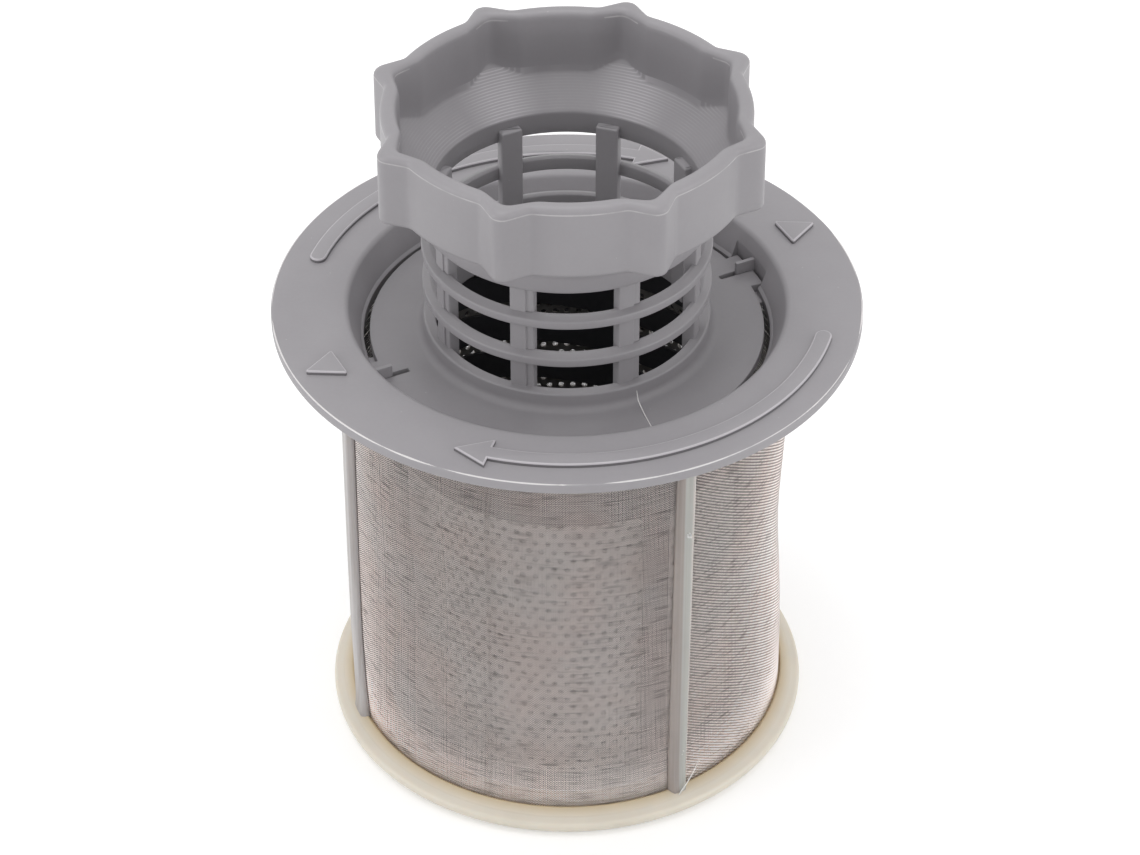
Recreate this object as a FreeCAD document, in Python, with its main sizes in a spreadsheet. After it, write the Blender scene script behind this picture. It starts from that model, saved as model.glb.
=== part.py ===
import FreeCAD, Part
import os
import re
import Sketcher

# A dishwasher filter set: a coarse strainer with a lobed grip and a perforated basket,
# keyed into the round flange of a fine woven drum. It stands on the drum's base ring.
# Millimetres, +Z up, origin at the middle of the base. Angles are in degrees, counted
# from +X towards +Y. The front of the set faces -Y.

os.makedirs("parts", exist_ok=True)
doc = FreeCAD.newDocument("dishwasher_filter")

# Driving dimensions: name, value, meaning
SIZES = [
    ("flange_top", 90.0, "height of the flange's top face above the base"),
    ("flange_radius", 52.5, "outer radius of the flange"),
    ("flange_width", 13.5, "width of the flange, from its rim to the funnel mouth"),
    ("flange_thickness", 2.0, "thickness of the flange's plate"),
    ("flange_edge_round", 0.35, "rounding of the flange's outer edges"),
    ("mouth_round", 1.8, "rounding of the funnel mouth's edge"),
    ("funnel_flare", 2.2, "how much wider the funnel mouth is at its top than lower down"),
    ("funnel_depth", 5.6, "depth of the funnel mouth"),
    ("funnel_wall", 1.9, "thickness of the funnel mouth's wall, measured level"),
    ("bead_step", 0.5, "how far the bead stands in from the funnel mouth's lower end"),
    ("skirt_wall", 1.4, "thickness of the skirt round the drum's upper end"),
    ("skirt_depth", 8.6, "depth of the skirt below the flange's top"),
    ("index_turn", 26.3, "direction of the keys, their marks and one of the posts"),
    ("key_thickness", 0.8, "thickness of a key"),
    ("key_rise", 2.2, "height of a key above the strainer's disc"),
    ("key_clearance", 0.15, "clearance on each side of a key in its slot"),
    ("slot_length", 7.0, "length of a slot, inwards from the edge of its ear"),
    ("disc_drop", 5.5, "depth of the disc's top below the flange's top"),
    ("disc_thickness", 1.5, "thickness of the disc"),
    ("disc_overlap", 1.0, "how far the disc covers the ledges that carry it"),
    ("disc_gap", 1.1, "gap between the disc's edge and the bead"),
    ("ear_reach", 2.3, "how far an ear stands out from the disc"),
    ("ear_angle", 15.4, "angle taken up by an ear"),
    ("ear_clearance", 0.4, "clearance round an ear in its pocket"),
    ("ledge_angle", 22.0, "angle taken up by a ledge"),
    ("ledge_shift", 2.0, "how far a ledge's middle lies off the key"),
    ("ledge_thickness", 1.0, "thickness of a ledge"),
    ("seat_gap", 0.1, "gap between a piece and the seat that carries it"),
    ("arrow_shift", 0.25, "how far the arrows' middle line lies inside the middle of the flange's face"),
    ("arrow_band", 3.0, "width of an arrow's band"),
    ("arrow_start", 253.8, "direction in which an arrow's head joins its band"),
    ("arrow_angle", 91.2, "angle from an arrow's head to the end of its band"),
    ("arrow_head_half", 3.6, "half width of an arrow's head"),
    ("arrow_head_length", 6.0, "length of an arrow's head"),
    ("mark_height", 0.8, "height of the raised marks"),
    ("pointer_shift", 0.55, "how far a triangle mark's middle lies outside the middle of the face"),
    ("pointer_half", 3.6, "half width of a triangle mark"),
    ("pointer_length", 6.6, "length of a triangle mark"),
    ("mesh_gap", 0.9, "gap between the funnel mouth's wall and the woven wall"),
    ("mesh_spread", 0.8, "how much wider the woven wall is at its foot than at its top"),
    ("mesh_thickness", 0.5, "thickness of the woven wall"),
    ("mesh_grip", 4.0, "how far the woven wall reaches up into the skirt"),
    ("mesh_sag", 1.15, "how far the woven wall is drawn in, midway between two ribs"),
    ("mesh_sag_share", 0.2, "half height of the drawn-in part, as a share of the woven wall's height"),
    ("mesh_ridge", 0.15, "height of the woven wall's ridges"),
    ("mesh_ridge_width", 1.8, "width of a ridge"),
    ("mesh_ridges", 14, "number of ridges"),
    ("mesh_hole_angle", 5.0, "angle of a gap in the woven wall"),
    ("mesh_hole_height", 3.6, "height of a gap in the woven wall"),
    ("mesh_columns", 24, "columns of gaps round the woven wall"),
    ("mesh_rows", 5, "rows of gaps"),
    ("weave_clearance", 0.1, "clearance between the woven wall and what holds it"),
    ("ring_reach", 4.0, "how far the base ring stands out from the woven wall"),
    ("ring_height", 4.3, "height of the base ring"),
    ("ring_slope", 0.6, "fall of the base ring's top towards its shoulder"),
    ("ring_shoulder", 1.7, "how far out the base ring's shoulder is from the woven wall"),
    ("ring_undercut", 1.5, "how far the base ring's flat stays in from its widest line"),
    ("ring_edge_height", 2.4, "height of the base ring's widest line"),
    ("ring_round", 1.2, "rounding of the base ring"),
    ("lip_thickness", 1.6, "thickness of the lip inside the base ring"),
    ("rib_proud", 1.3, "how far a rib stands out from the woven wall"),
    ("rib_angle", 5.2, "angle taken up by a rib"),
    ("rib_turn_front", -60.0, "direction of the rib at the front"),
    ("rib_turn_left", 198.0, "direction of the rib at the left"),
    ("rib_turn_back", 69.0, "direction of the rib at the back"),
    ("grip_height", 13.8, "height of the grip"),
    ("grip_lift", 3.5, "height of the grip's lower edge above the throat's upper edge"),
    ("grip_overhang", 8.5, "how far the grip stands out from the throat, between its lobes"),
    ("grip_wall", 3.0, "thickness of the grip's wall between its lobes"),
    ("rim_round", 1.15, "rounding of the grip's rim"),
    ("lobe_count", 8, "lobes round the grip, and posts round the cage"),
    ("lobe_reach", 3.1, "how far a lobe stands out from the grip"),
    ("lobe_foot_half", 4.25, "half width of a lobe at its foot"),
    ("lobe_tip_half", 1.0, "half width of a lobe at its tip"),
    ("lobe_round", 1.2, "rounding of a lobe's corners"),
    ("lobe_hollow_reach", 2.1, "how far a lobe's hollow reaches out from the grip's inner face"),
    ("lobe_hollow_foot_half", 5.0, "half width of a lobe's hollow at its foot"),
    ("lobe_hollow_tip_half", 0.7, "half width of a lobe's hollow at its tip"),
    ("throat_inset", 5.8, "how far the throat lies inside the ring under the disc"),
    ("floor_slope", 0.88, "rise of the grip's funnel floor for each unit of radius"),
    ("floor_wall", 2.2, "thickness of the funnel floor, measured upright"),
    ("floor_bite", 0.1, "how far the funnel floor stays in from the grip's outer face"),
    ("neck_height", 4.5, "height of the neck between the upper windows and the funnel floor"),
    ("cage_wall", 2.1, "thickness of the cage's hoops"),
    ("cage_top", 19.5, "height of the upper windows' top above the flange's top"),
    ("sill_height", 3.6, "height of the lowest windows' sill above the disc"),
    ("hoop_height", 2.6, "height of a hoop"),
    ("hoop_round", 0.55, "rounding of a hoop's outer edges"),
    ("window_rows", 3, "rows of windows"),
    ("post_width", 4.2, "width of a post"),
    ("post_inset", 1.5, "how far a post stands in from the throat"),
    ("post_bite", 0.8, "how far a post reaches into the hoops"),
    ("post_step", 0.35, "depth of the step down the outside of a post"),
    ("post_drop", 1.9, "depth of the posts' free ends below the throat's upper edge"),
    ("post_round", 0.5, "rounding of the posts' free ends"),
    ("collar_round", 3.0, "fillet where the cage's collar meets the disc"),
    ("spigot_wall", 1.5, "thickness of the ring under the disc"),
    ("spigot_depth", 3.5, "depth of the ring under the disc"),
    ("spigot_clearance", 0.3, "clearance between the ring under the disc and the basket"),
    ("basket_wall", 1.1, "thickness of the basket's frame"),
    ("basket_top_band", 19.0, "height of the basket's upper band"),
    ("basket_low_band", 0.6, "height of the basket's lower band above its foot"),
    ("basket_post_angle", 8.8, "angle taken up by a basket post"),
    ("basket_corner", 3.0, "rounding of the basket windows' corners"),
    ("basket_base", 1.2, "height of the basket's underside above the base"),
    ("basket_floor", 1.6, "thickness of the basket's floor"),
    ("foot_reach", 1.6, "how far the basket's foot stands out"),
    ("foot_height", 1.6, "height of the basket's foot"),
    ("lift_clearance", 0.4, "clearance round the basket's foot when it is lifted out"),
    ("drain_radius", 2.5, "radius of a drain hole in the basket's floor"),
    ("drain_inset", 13.1, "how far the circle of drain holes lies inside the basket's wall"),
    ("drain_count", 8, "drain holes round the basket's floor"),
    ("sleeve_thickness", 0.5, "thickness of the perforated sleeve"),
    ("hole_radius", 0.6, "radius of a hole in the sleeve"),
    ("hole_columns", 30, "columns of holes round the sleeve"),
    ("hole_rows", 4, "rows of holes in each column"),
]

dims = doc.addObject("Spreadsheet::Sheet", "dims")
for row, (name, value, meaning) in enumerate(SIZES, start=1):
    dims.set(f"A{row}", name)
    dims.set(f"B{row}", str(value))
    dims.set(f"C{row}", meaning)
    dims.setAlias(f"B{row}", name)
doc.recompute()
NAMES = {name for name, value, meaning in SIZES}


def bound(formula):
    """The formula with each size's name pointing at its cell."""
    return re.sub(r"[a-z_]+", lambda word: f"dims.{word[0]}" if word[0] in NAMES else word[0], formula)


def number(formula):
    """What the formula comes to with the present sizes."""
    return float(dims.evalExpression(bound(formula)))


def whole(formula):
    return int(round(number(formula)))


def origin_part(body, role):
    return [item for item in body.Origin.OriginFeatures if item.Role == role][0]


def new_body(label):
    body = doc.addObject("PartDesign::Body", label)
    body.Label = label
    return body


def new_sketch(body, name, plane, lift, turn, reach="0"):
    """A sketch on one of the body's origin planes, turned about Z.

    A level sketch is lifted along Z. An upright one is moved out from the axis by the reach.
    """
    sketch = body.newObject("Sketcher::SketchObject", name)
    sketch.AttachmentSupport = [(origin_part(body, plane), "")]
    sketch.MapMode = "FlatFace"
    upright = plane == "XZ_Plane"
    spin = FreeCAD.Vector(0, 1, 0) if upright else FreeCAD.Vector(0, 0, 1)
    angle = number(turn)
    sketch.AttachmentOffset = FreeCAD.Placement(FreeCAD.Vector(0, 0, 0), FreeCAD.Rotation(spin, angle))
    sketch.setExpression("AttachmentOffset.Rotation.Angle", bound(turn))
    if upright:
        sketch.setExpression("AttachmentOffset.Base.x", bound(f"-({reach}) * sin({turn})"))
        sketch.setExpression("AttachmentOffset.Base.z", bound(f"-({reach}) * cos({turn})"))
    else:
        sketch.setExpression("AttachmentOffset.Base.z", bound(lift))
    return sketch


def pin_point(sketch, edge, end, across, up):
    """Holds one point of the sketch at the two formulas."""
    for kind, formula in (("DistanceX", across), ("DistanceY", up)):
        index = sketch.addConstraint(Sketcher.Constraint(kind, edge, end, number(formula)))
        sketch.setExpression(f"Constraints[{index}]", bound(formula))


def polygon(body, name, corners, plane="XZ_Plane", lift="0", turn="0"):
    """A closed outline of straight edges through the corners."""
    sketch = new_sketch(body, name, plane, lift, turn)
    points = [FreeCAD.Vector(number(across), number(up), 0) for across, up in corners]
    count = len(points)
    for index in range(count):
        sketch.addGeometry(Part.LineSegment(points[index], points[(index + 1) % count]), False)
    for index in range(count):
        sketch.addConstraint(Sketcher.Constraint("Coincident", index, 2, (index + 1) % count, 1))
    for index, (across, up) in enumerate(corners):
        pin_point(sketch, index, 1, across, up)
    return sketch


def circles(body, name, centres, radius, plane="XY_Plane", lift="0", turn="0", reach="0"):
    """Circles of one radius about the centres."""
    sketch = new_sketch(body, name, plane, lift, turn, reach)
    up = FreeCAD.Vector(0, 0, 1)
    for index, (across, along) in enumerate(centres):
        middle = FreeCAD.Vector(number(across), number(along), 0)
        sketch.addGeometry(Part.Circle(middle, up, number(radius)), False)
        place = sketch.addConstraint(Sketcher.Constraint("Radius", index, number(radius)))
        sketch.setExpression(f"Constraints[{place}]", bound(radius))
        pin_point(sketch, index, 3, across, along)
    return sketch


def box_corners(low_across, high_across, low_up, high_up):
    return [(low_across, low_up), (high_across, low_up), (high_across, high_up), (low_across, high_up)]


def feature(body, kind, name):
    return body.newObject(f"PartDesign::{kind}", name)


def finish(body, item):
    """Makes the feature the body's result and checks that it worked."""
    body.Tip = item
    doc.recompute()
    if "Invalid" in item.State or "Error" in item.State or item.Shape.isNull():
        raise RuntimeError(f"{body.Label}: {item.Name} failed")
    return item


def turned(body, kind, name, corners, angle="360", turn="0"):
    """Revolution or Groove of an outline given as (radius, height) corners."""
    sketch = polygon(body, name + "_outline", corners, "XZ_Plane", "0", turn)
    before = body.Shape.Volume if kind == "Groove" else 0.0
    item = feature(body, kind, name)
    item.Profile = sketch
    item.ReferenceAxis = (sketch, ["V_Axis"])
    item.Midplane = True
    item.Angle = number(angle)
    item.setExpression("Angle", bound(angle))
    finish(body, item)
    if kind == "Groove" and not body.Shape.Volume < before:
        raise RuntimeError(f"{body.Label}: {name} cuts nothing")
    return item


def raised(body, name, sketch, height):
    """Pad upwards from the sketch."""
    item = feature(body, "Pad", name)
    item.Profile = sketch
    item.Length = number(height)
    item.setExpression("Length", bound(height))
    return finish(body, item)


def sunk(body, name, sketch, depth):
    """Pocket from the sketch: downwards, or away from the axis for an upright sketch."""
    before = body.Shape.Volume
    item = feature(body, "Pocket", name)
    item.Profile = sketch
    item.Length = number(depth)
    item.setExpression("Length", bound(depth))
    finish(body, item)
    if not body.Shape.Volume < before:
        raise RuntimeError(f"{body.Label}: {name} cuts nothing")
    return item


def repeated(body, name, originals, count):
    """Copies of the features, evenly spaced about the Z axis."""
    item = feature(body, "PolarPattern", name)
    item.Originals = originals
    item.Axis = (origin_part(body, "Z_Axis"), [""])
    item.Angle = 360
    item.Occurrences = whole(count)
    item.setExpression("Occurrences", bound(count))
    return finish(body, item)


def rounded(body, name, wanted, radius):
    """Fillet on the edges that the test wants."""
    base = body.Tip
    names = [f"Edge{index}" for index, edge in enumerate(base.Shape.Edges, start=1) if wanted(edge)]
    if not names:
        raise RuntimeError(f"{body.Label}: {name} found no edge")
    item = feature(body, "Fillet", name)
    item.Base = (base, names)
    item.Radius = number(radius)
    item.setExpression("Radius", bound(radius))
    return finish(body, item)


def is_upright(edge):
    """A straight edge that runs along Z."""
    if not isinstance(edge.Curve, Part.Line):
        return False
    return abs(edge.Curve.Direction.z) > 0.999


def radius_of(point):
    return (point.x ** 2 + point.y ** 2) ** 0.5


def is_hoop(edge, radius, height):
    """A round edge about the Z axis with this radius and height."""
    box = edge.BoundBox
    if box.ZLength > 0.01 or abs(box.ZMin - number(height)) > 0.01:
        return False
    return abs(radius_of(edge.Vertexes[0].Point) - number(radius)) < 0.01


# Levels and radii shared by several pieces
FLANGE_LOW = "(flange_top - flange_thickness)"
SKIRT_LOW = "(flange_top - skirt_depth)"
FUNNEL_LOW = "(flange_top - funnel_depth)"
DISC_TOP = "(flange_top - disc_drop)"
DISC_LOW = f"({DISC_TOP} - disc_thickness)"
SPIGOT_LOW = f"({DISC_LOW} - spigot_depth)"
LEDGE_TOP = f"({DISC_LOW} - seat_gap)"
LEDGE_LOW = f"({LEDGE_TOP} - ledge_thickness)"
SILL = f"({DISC_TOP} + sill_height)"
CAGE_TOP = "(flange_top + cage_top)"
WINDOW_HEIGHT = f"(({CAGE_TOP} - {SILL} - (window_rows - 1) * hoop_height) / window_rows)"
THROAT_TOP = f"({CAGE_TOP} + neck_height)"
GRIP_LOW = f"({THROAT_TOP} + grip_lift)"
GRIP_TOP = f"({GRIP_LOW} + grip_height)"
POST_TOP = f"({THROAT_TOP} - post_drop)"
MESH_TOP = f"({SKIRT_LOW} + mesh_grip)"
MESH_LOW = "(ring_height / 2)"
BASKET_TOP = f"({DISC_LOW} - seat_gap)"
BASKET_FLOOR_TOP = "(basket_base + basket_floor)"
BASKET_SILL = "(basket_base + max(basket_floor; foot_height))"
MOUTH_RADIUS = "(flange_radius - flange_width)"
FACE_MIDDLE = f"((flange_radius + {MOUTH_RADIUS} + mouth_round) / 2)"
FUNNEL_RADIUS = f"({MOUTH_RADIUS} - funnel_flare)"
FUNNEL_OUTER = f"({FUNNEL_RADIUS} + funnel_wall)"
BEAD_RADIUS = f"({FUNNEL_RADIUS} - bead_step)"
DISC_RADIUS = f"({BEAD_RADIUS} - disc_gap)"
EAR_RADIUS = f"({DISC_RADIUS} + ear_reach)"
LIFT_RADIUS = f"({DISC_RADIUS} - disc_overlap)"
FOOT_RADIUS = f"({LIFT_RADIUS} - lift_clearance)"
BASKET_RADIUS = f"({FOOT_RADIUS} - foot_reach)"
BASKET_INNER = f"({BASKET_RADIUS} - basket_wall)"
SPIGOT_RADIUS = f"({BASKET_INNER} - spigot_clearance)"
SPIGOT_INNER = f"({SPIGOT_RADIUS} - spigot_wall)"
THROAT_RADIUS = f"({SPIGOT_INNER} - throat_inset)"
CAGE_RADIUS = f"({THROAT_RADIUS} + cage_wall)"
GRIP_RADIUS = f"({THROAT_RADIUS} + grip_overhang)"
SLEEVE_RADIUS = f"({BASKET_INNER} - seat_gap)"
MESH_TOP_RADIUS = f"({FUNNEL_OUTER} + mesh_gap + mesh_thickness)"
MESH_FOOT_RADIUS = f"({MESH_TOP_RADIUS} + mesh_spread)"
WALL_GAP = "(mesh_ridge + weave_clearance)"


# The three panels between the ribs: name, direction of the first rib, angle to the next
PANELS = [
    ("front", "rib_turn_front", "(rib_turn_back - rib_turn_front)"),
    ("back", "rib_turn_back", "(rib_turn_left - rib_turn_back)"),
    ("left", "rib_turn_left", "(rib_turn_front + 360 - rib_turn_left)"),
]


def mesh_radius(height):
    """Outer radius of the woven wall at a height, where a rib holds it."""
    share = f"(({height}) - {MESH_LOW}) / ({MESH_TOP} - {MESH_LOW})"
    return f"({MESH_FOOT_RADIUS} - mesh_spread * {share})"


def sag_at(height):
    """How far the woven wall is drawn in at a height, midway between two ribs."""
    reach = f"(mesh_sag_share * ({MESH_TOP} - {MESH_LOW}))"
    off = f"((({height}) - ({MESH_LOW} + {MESH_TOP}) / 2) / {reach})"
    return f"(mesh_sag * exp(-{off} * {off}))"


SKIRT_INNER = f"({mesh_radius(SKIRT_LOW)} + rib_proud + weave_clearance)"
SKIRT_OUTER = f"({SKIRT_INNER} + skirt_wall)"


def make_flange():
    """The grey flange with its funnel mouth, bead, keys, ledges, skirt and raised marks."""
    body = new_body("flange_ring")
    plate_share = "(funnel_flare * flange_thickness / funnel_depth)"
    turned(body, "Revolution", "plate", [
        (MOUTH_RADIUS, "flange_top"),
        ("flange_radius", "flange_top"),
        ("flange_radius", FLANGE_LOW),
        (SKIRT_OUTER, FLANGE_LOW),
        (SKIRT_OUTER, SKIRT_LOW),
        (SKIRT_INNER, SKIRT_LOW),
        (SKIRT_INNER, FLANGE_LOW),
        (f"({MOUTH_RADIUS} - {plate_share} + funnel_wall)", FLANGE_LOW),
        (FUNNEL_OUTER, FUNNEL_LOW),
        (FUNNEL_OUTER, LEDGE_LOW),
        (BEAD_RADIUS, LEDGE_LOW),
        (BEAD_RADIUS, f"({FUNNEL_LOW} - bead_step)"),
        (FUNNEL_RADIUS, FUNNEL_LOW),
    ])
    rounded(body, "mouth_edge", lambda edge: is_hoop(edge, MOUTH_RADIUS, "flange_top"), "mouth_round")
    rounded(body, "plate_edges", lambda edge: (
        is_hoop(edge, "flange_radius", "flange_top") or is_hoop(edge, "flange_radius", FLANGE_LOW)),
        "min(flange_edge_round; flange_thickness / 3)")
    pocket_angle = f"(ear_angle + 2 * ear_clearance / {EAR_RADIUS} * 180 / pi)"
    pocket = turned(body, "Groove", "ear_pocket", box_corners(
        f"({BEAD_RADIUS} - disc_gap)", f"({EAR_RADIUS} + ear_clearance)", LEDGE_LOW, "flange_top"),
        pocket_angle, "index_turn")
    repeated(body, "ear_pockets", [pocket], "2")
    ledge = turned(body, "Revolution", "ledge", box_corners(
        LIFT_RADIUS, FUNNEL_OUTER, LEDGE_LOW, LEDGE_TOP),
        "ledge_angle", "index_turn - ledge_shift")
    key_sketch = polygon(body, "key_outline", box_corners(
        LIFT_RADIUS, f"({FUNNEL_OUTER} - funnel_wall / 4)", "-key_thickness / 2", "key_thickness / 2"),
        "XY_Plane", LEDGE_LOW, "index_turn")
    key = raised(body, "key", key_sketch, f"{DISC_TOP} + key_rise - {LEDGE_LOW}")
    repeated(body, "keys", [ledge, key], "2")
    pointer_middle = f"({FACE_MIDDLE} + pointer_shift)"
    pointer_sketch = polygon(body, "pointer_outline", [
        (f"({pointer_middle} - pointer_length / 2)", "-pointer_half"),
        (f"({pointer_middle} + pointer_length / 2)", "0"),
        (f"({pointer_middle} - pointer_length / 2)", "pointer_half"),
    ], "XY_Plane", "flange_top", "index_turn")
    pointer = raised(body, "pointer", pointer_sketch, "mark_height")
    arrow_radius = f"({FACE_MIDDLE} - arrow_shift)"
    band = turned(body, "Revolution", "arrow_band_part", box_corners(
        f"({arrow_radius} - arrow_band / 2)", f"({arrow_radius} + arrow_band / 2)",
        "flange_top", "flange_top + mark_height"), "arrow_angle", "arrow_start + arrow_angle / 2")
    end_sketch = circles(body, "arrow_end_outline", [(arrow_radius, "0")], "arrow_band / 2",
                         "XY_Plane", "flange_top", "arrow_start + arrow_angle")
    end = raised(body, "arrow_end", end_sketch, "mark_height")
    head_sketch = polygon(body, "arrow_head_outline", [
        (f"({arrow_radius} - arrow_head_half)", "0"),
        (arrow_radius, "-arrow_head_length"),
        (f"({arrow_radius} + arrow_head_half)", "0"),
    ], "XY_Plane", "flange_top", "arrow_start")
    head = raised(body, "arrow_head", head_sketch, "mark_height")
    repeated(body, "marks", [pointer, band, end, head], "2")
    return body


def wall_section(body, name, height, proud):
    """Outline of the woven wall at a height: an arc from each rib to the next, drawn in between.

    The outline lies on the wall's outer face, or outside it by the proud height.
    """
    sketch = new_sketch(body, name, "XY_Plane", height, "0")
    radius = f"({mesh_radius(height)} + {proud})"
    middle_radius = f"({radius} - {sag_at(height)})"
    places = []
    for panel, start, span in PANELS:
        turn = f"({start} + {span} / 2)"
        places.append((f"{radius} * cos({start})", f"{radius} * sin({start})"))
        places.append((f"{middle_radius} * cos({turn})", f"{middle_radius} * sin({turn})"))
    points = [FreeCAD.Vector(number(across), number(along), 0) for across, along in places]
    count = len(PANELS)
    for index in range(count):
        arc = Part.Arc(points[2 * index], points[2 * index + 1], points[(2 * index + 2) % len(points)])
        sketch.addGeometry(arc, False)
    for index in range(count):
        sketch.addConstraint(Sketcher.Constraint("Coincident", index, 2, (index + 1) % count, 1))
    for index in range(count):
        pin_point(sketch, index, 1, *places[2 * index])
    for index in range(count):
        crest = sketch.addGeometry(Part.Point(points[2 * index + 1]), True)
        sketch.addConstraint(Sketcher.Constraint("PointOnObject", crest, 1, index))
        pin_point(sketch, crest, 1, *places[2 * index + 1])
    return sketch


def lofted(body, kind, name, sketches):
    """Straight-sided loft through the outlines, added or cut away."""
    item = feature(body, kind, name)
    item.Profile = sketches[0]
    item.Sections = sketches[1:]
    item.Ruled = True
    return finish(body, item)


def make_mesh():
    """The fine woven wall: a thin tube drawn in between the ribs, with ridges and rows of gaps."""
    body = new_body("mesh_wall")
    step = f"(({MESH_TOP} - {MESH_LOW}) / mesh_ridges)"
    levels = [(MESH_LOW, "0")]
    for index in range(whole("mesh_ridges")):
        crest = f"({MESH_LOW} + ({index} + 1 / 2) * {step})"
        levels.append((f"({crest} - mesh_ridge_width / 2)", "0"))
        levels.append((crest, "mesh_ridge"))
        levels.append((f"({crest} + mesh_ridge_width / 2)", "0"))
    levels.append((MESH_TOP, "0"))
    outside = [wall_section(body, f"outside_{index}", height, proud)
               for index, (height, proud) in enumerate(levels)]
    lofted(body, "AdditiveLoft", "wall", outside)
    inside = [wall_section(body, f"inside_{index}", f"({MESH_LOW} + {index} * {step})", "-mesh_thickness")
              for index in range(whole("mesh_ridges") + 1)]
    before = body.Shape.Volume
    lofted(body, "SubtractiveLoft", "hollow", inside)
    if not body.Shape.Volume < before:
        raise RuntimeError("mesh_wall: hollow cuts nothing")
    gaps = []
    for row in range(whole("mesh_rows")):
        valley = f"round(({row} + 1 / 2) * mesh_ridges / mesh_rows)"
        height = f"({MESH_LOW} + {valley} * {step})"
        inner = f"({mesh_radius(height)} - mesh_sag - 2 * mesh_thickness)"
        outer = f"({mesh_radius(height)} + 2 * mesh_thickness)"
        gaps.append(turned(body, "Groove", f"gap_{row}", box_corners(
            inner, outer, f"({height} - mesh_hole_height / 2)", f"({height} + mesh_hole_height / 2)"),
            "mesh_hole_angle"))
    repeated(body, "gaps", gaps, "mesh_columns")
    return body


def make_drum_frame():
    """The milky moulding that holds the woven wall: base ring, three ribs and a hidden top band."""
    body = new_body("drum_frame")
    foot = mesh_radius(MESH_LOW)
    outer_seat = f"({foot} + {WALL_GAP})"
    inner_seat = f"({foot} - mesh_thickness - weave_clearance)"
    seat = f"({MESH_LOW} - weave_clearance)"
    widest = f"({foot} + ring_reach)"
    shoulder = f"({foot} + ring_shoulder)"
    shoulder_top = "(ring_height - ring_slope)"
    flat_edge = f"({widest} - ring_undercut)"
    turned(body, "Revolution", "base_ring", [
        (LIFT_RADIUS, "0"),
        (flat_edge, "0"),
        (widest, "ring_edge_height"),
        (shoulder, shoulder_top),
        (f"({outer_seat} + {WALL_GAP})", "ring_height"),
        (outer_seat, "ring_height"),
        (outer_seat, seat),
        (inner_seat, seat),
        (inner_seat, "min(lip_thickness; ring_height / 2 - 2 * weave_clearance)"),
        (LIFT_RADIUS, "min(lip_thickness; ring_height / 2 - 2 * weave_clearance)"),
    ])
    rounded(body, "ring_edges", lambda edge: (
        is_hoop(edge, flat_edge, "0") or is_hoop(edge, widest, "ring_edge_height")
        or is_hoop(edge, shoulder, shoulder_top)), "min(ring_round; ring_edge_height / 2)")
    low = "(ring_height - ring_slope)"
    for name in ("front", "left", "back"):
        turned(body, "Revolution", f"rib_{name}", [
            (f"({mesh_radius(low)} + {WALL_GAP})", low),
            (f"({mesh_radius(low)} + rib_proud)", low),
            (f"({mesh_radius(MESH_TOP)} + rib_proud)", MESH_TOP),
            (f"({mesh_radius(MESH_TOP)} + {WALL_GAP})", MESH_TOP),
        ], "rib_angle", f"rib_turn_{name}")
    band_low = f"({MESH_TOP} - mesh_grip + 4 * weave_clearance)"
    turned(body, "Revolution", "top_band", [
        (f"({mesh_radius(band_low)} + {WALL_GAP})", band_low),
        (f"({mesh_radius(band_low)} + rib_proud)", band_low),
        (f"({mesh_radius(MESH_TOP)} + rib_proud)", MESH_TOP),
        (f"({mesh_radius(MESH_TOP)} + {WALL_GAP})", MESH_TOP),
    ])
    return body


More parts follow.
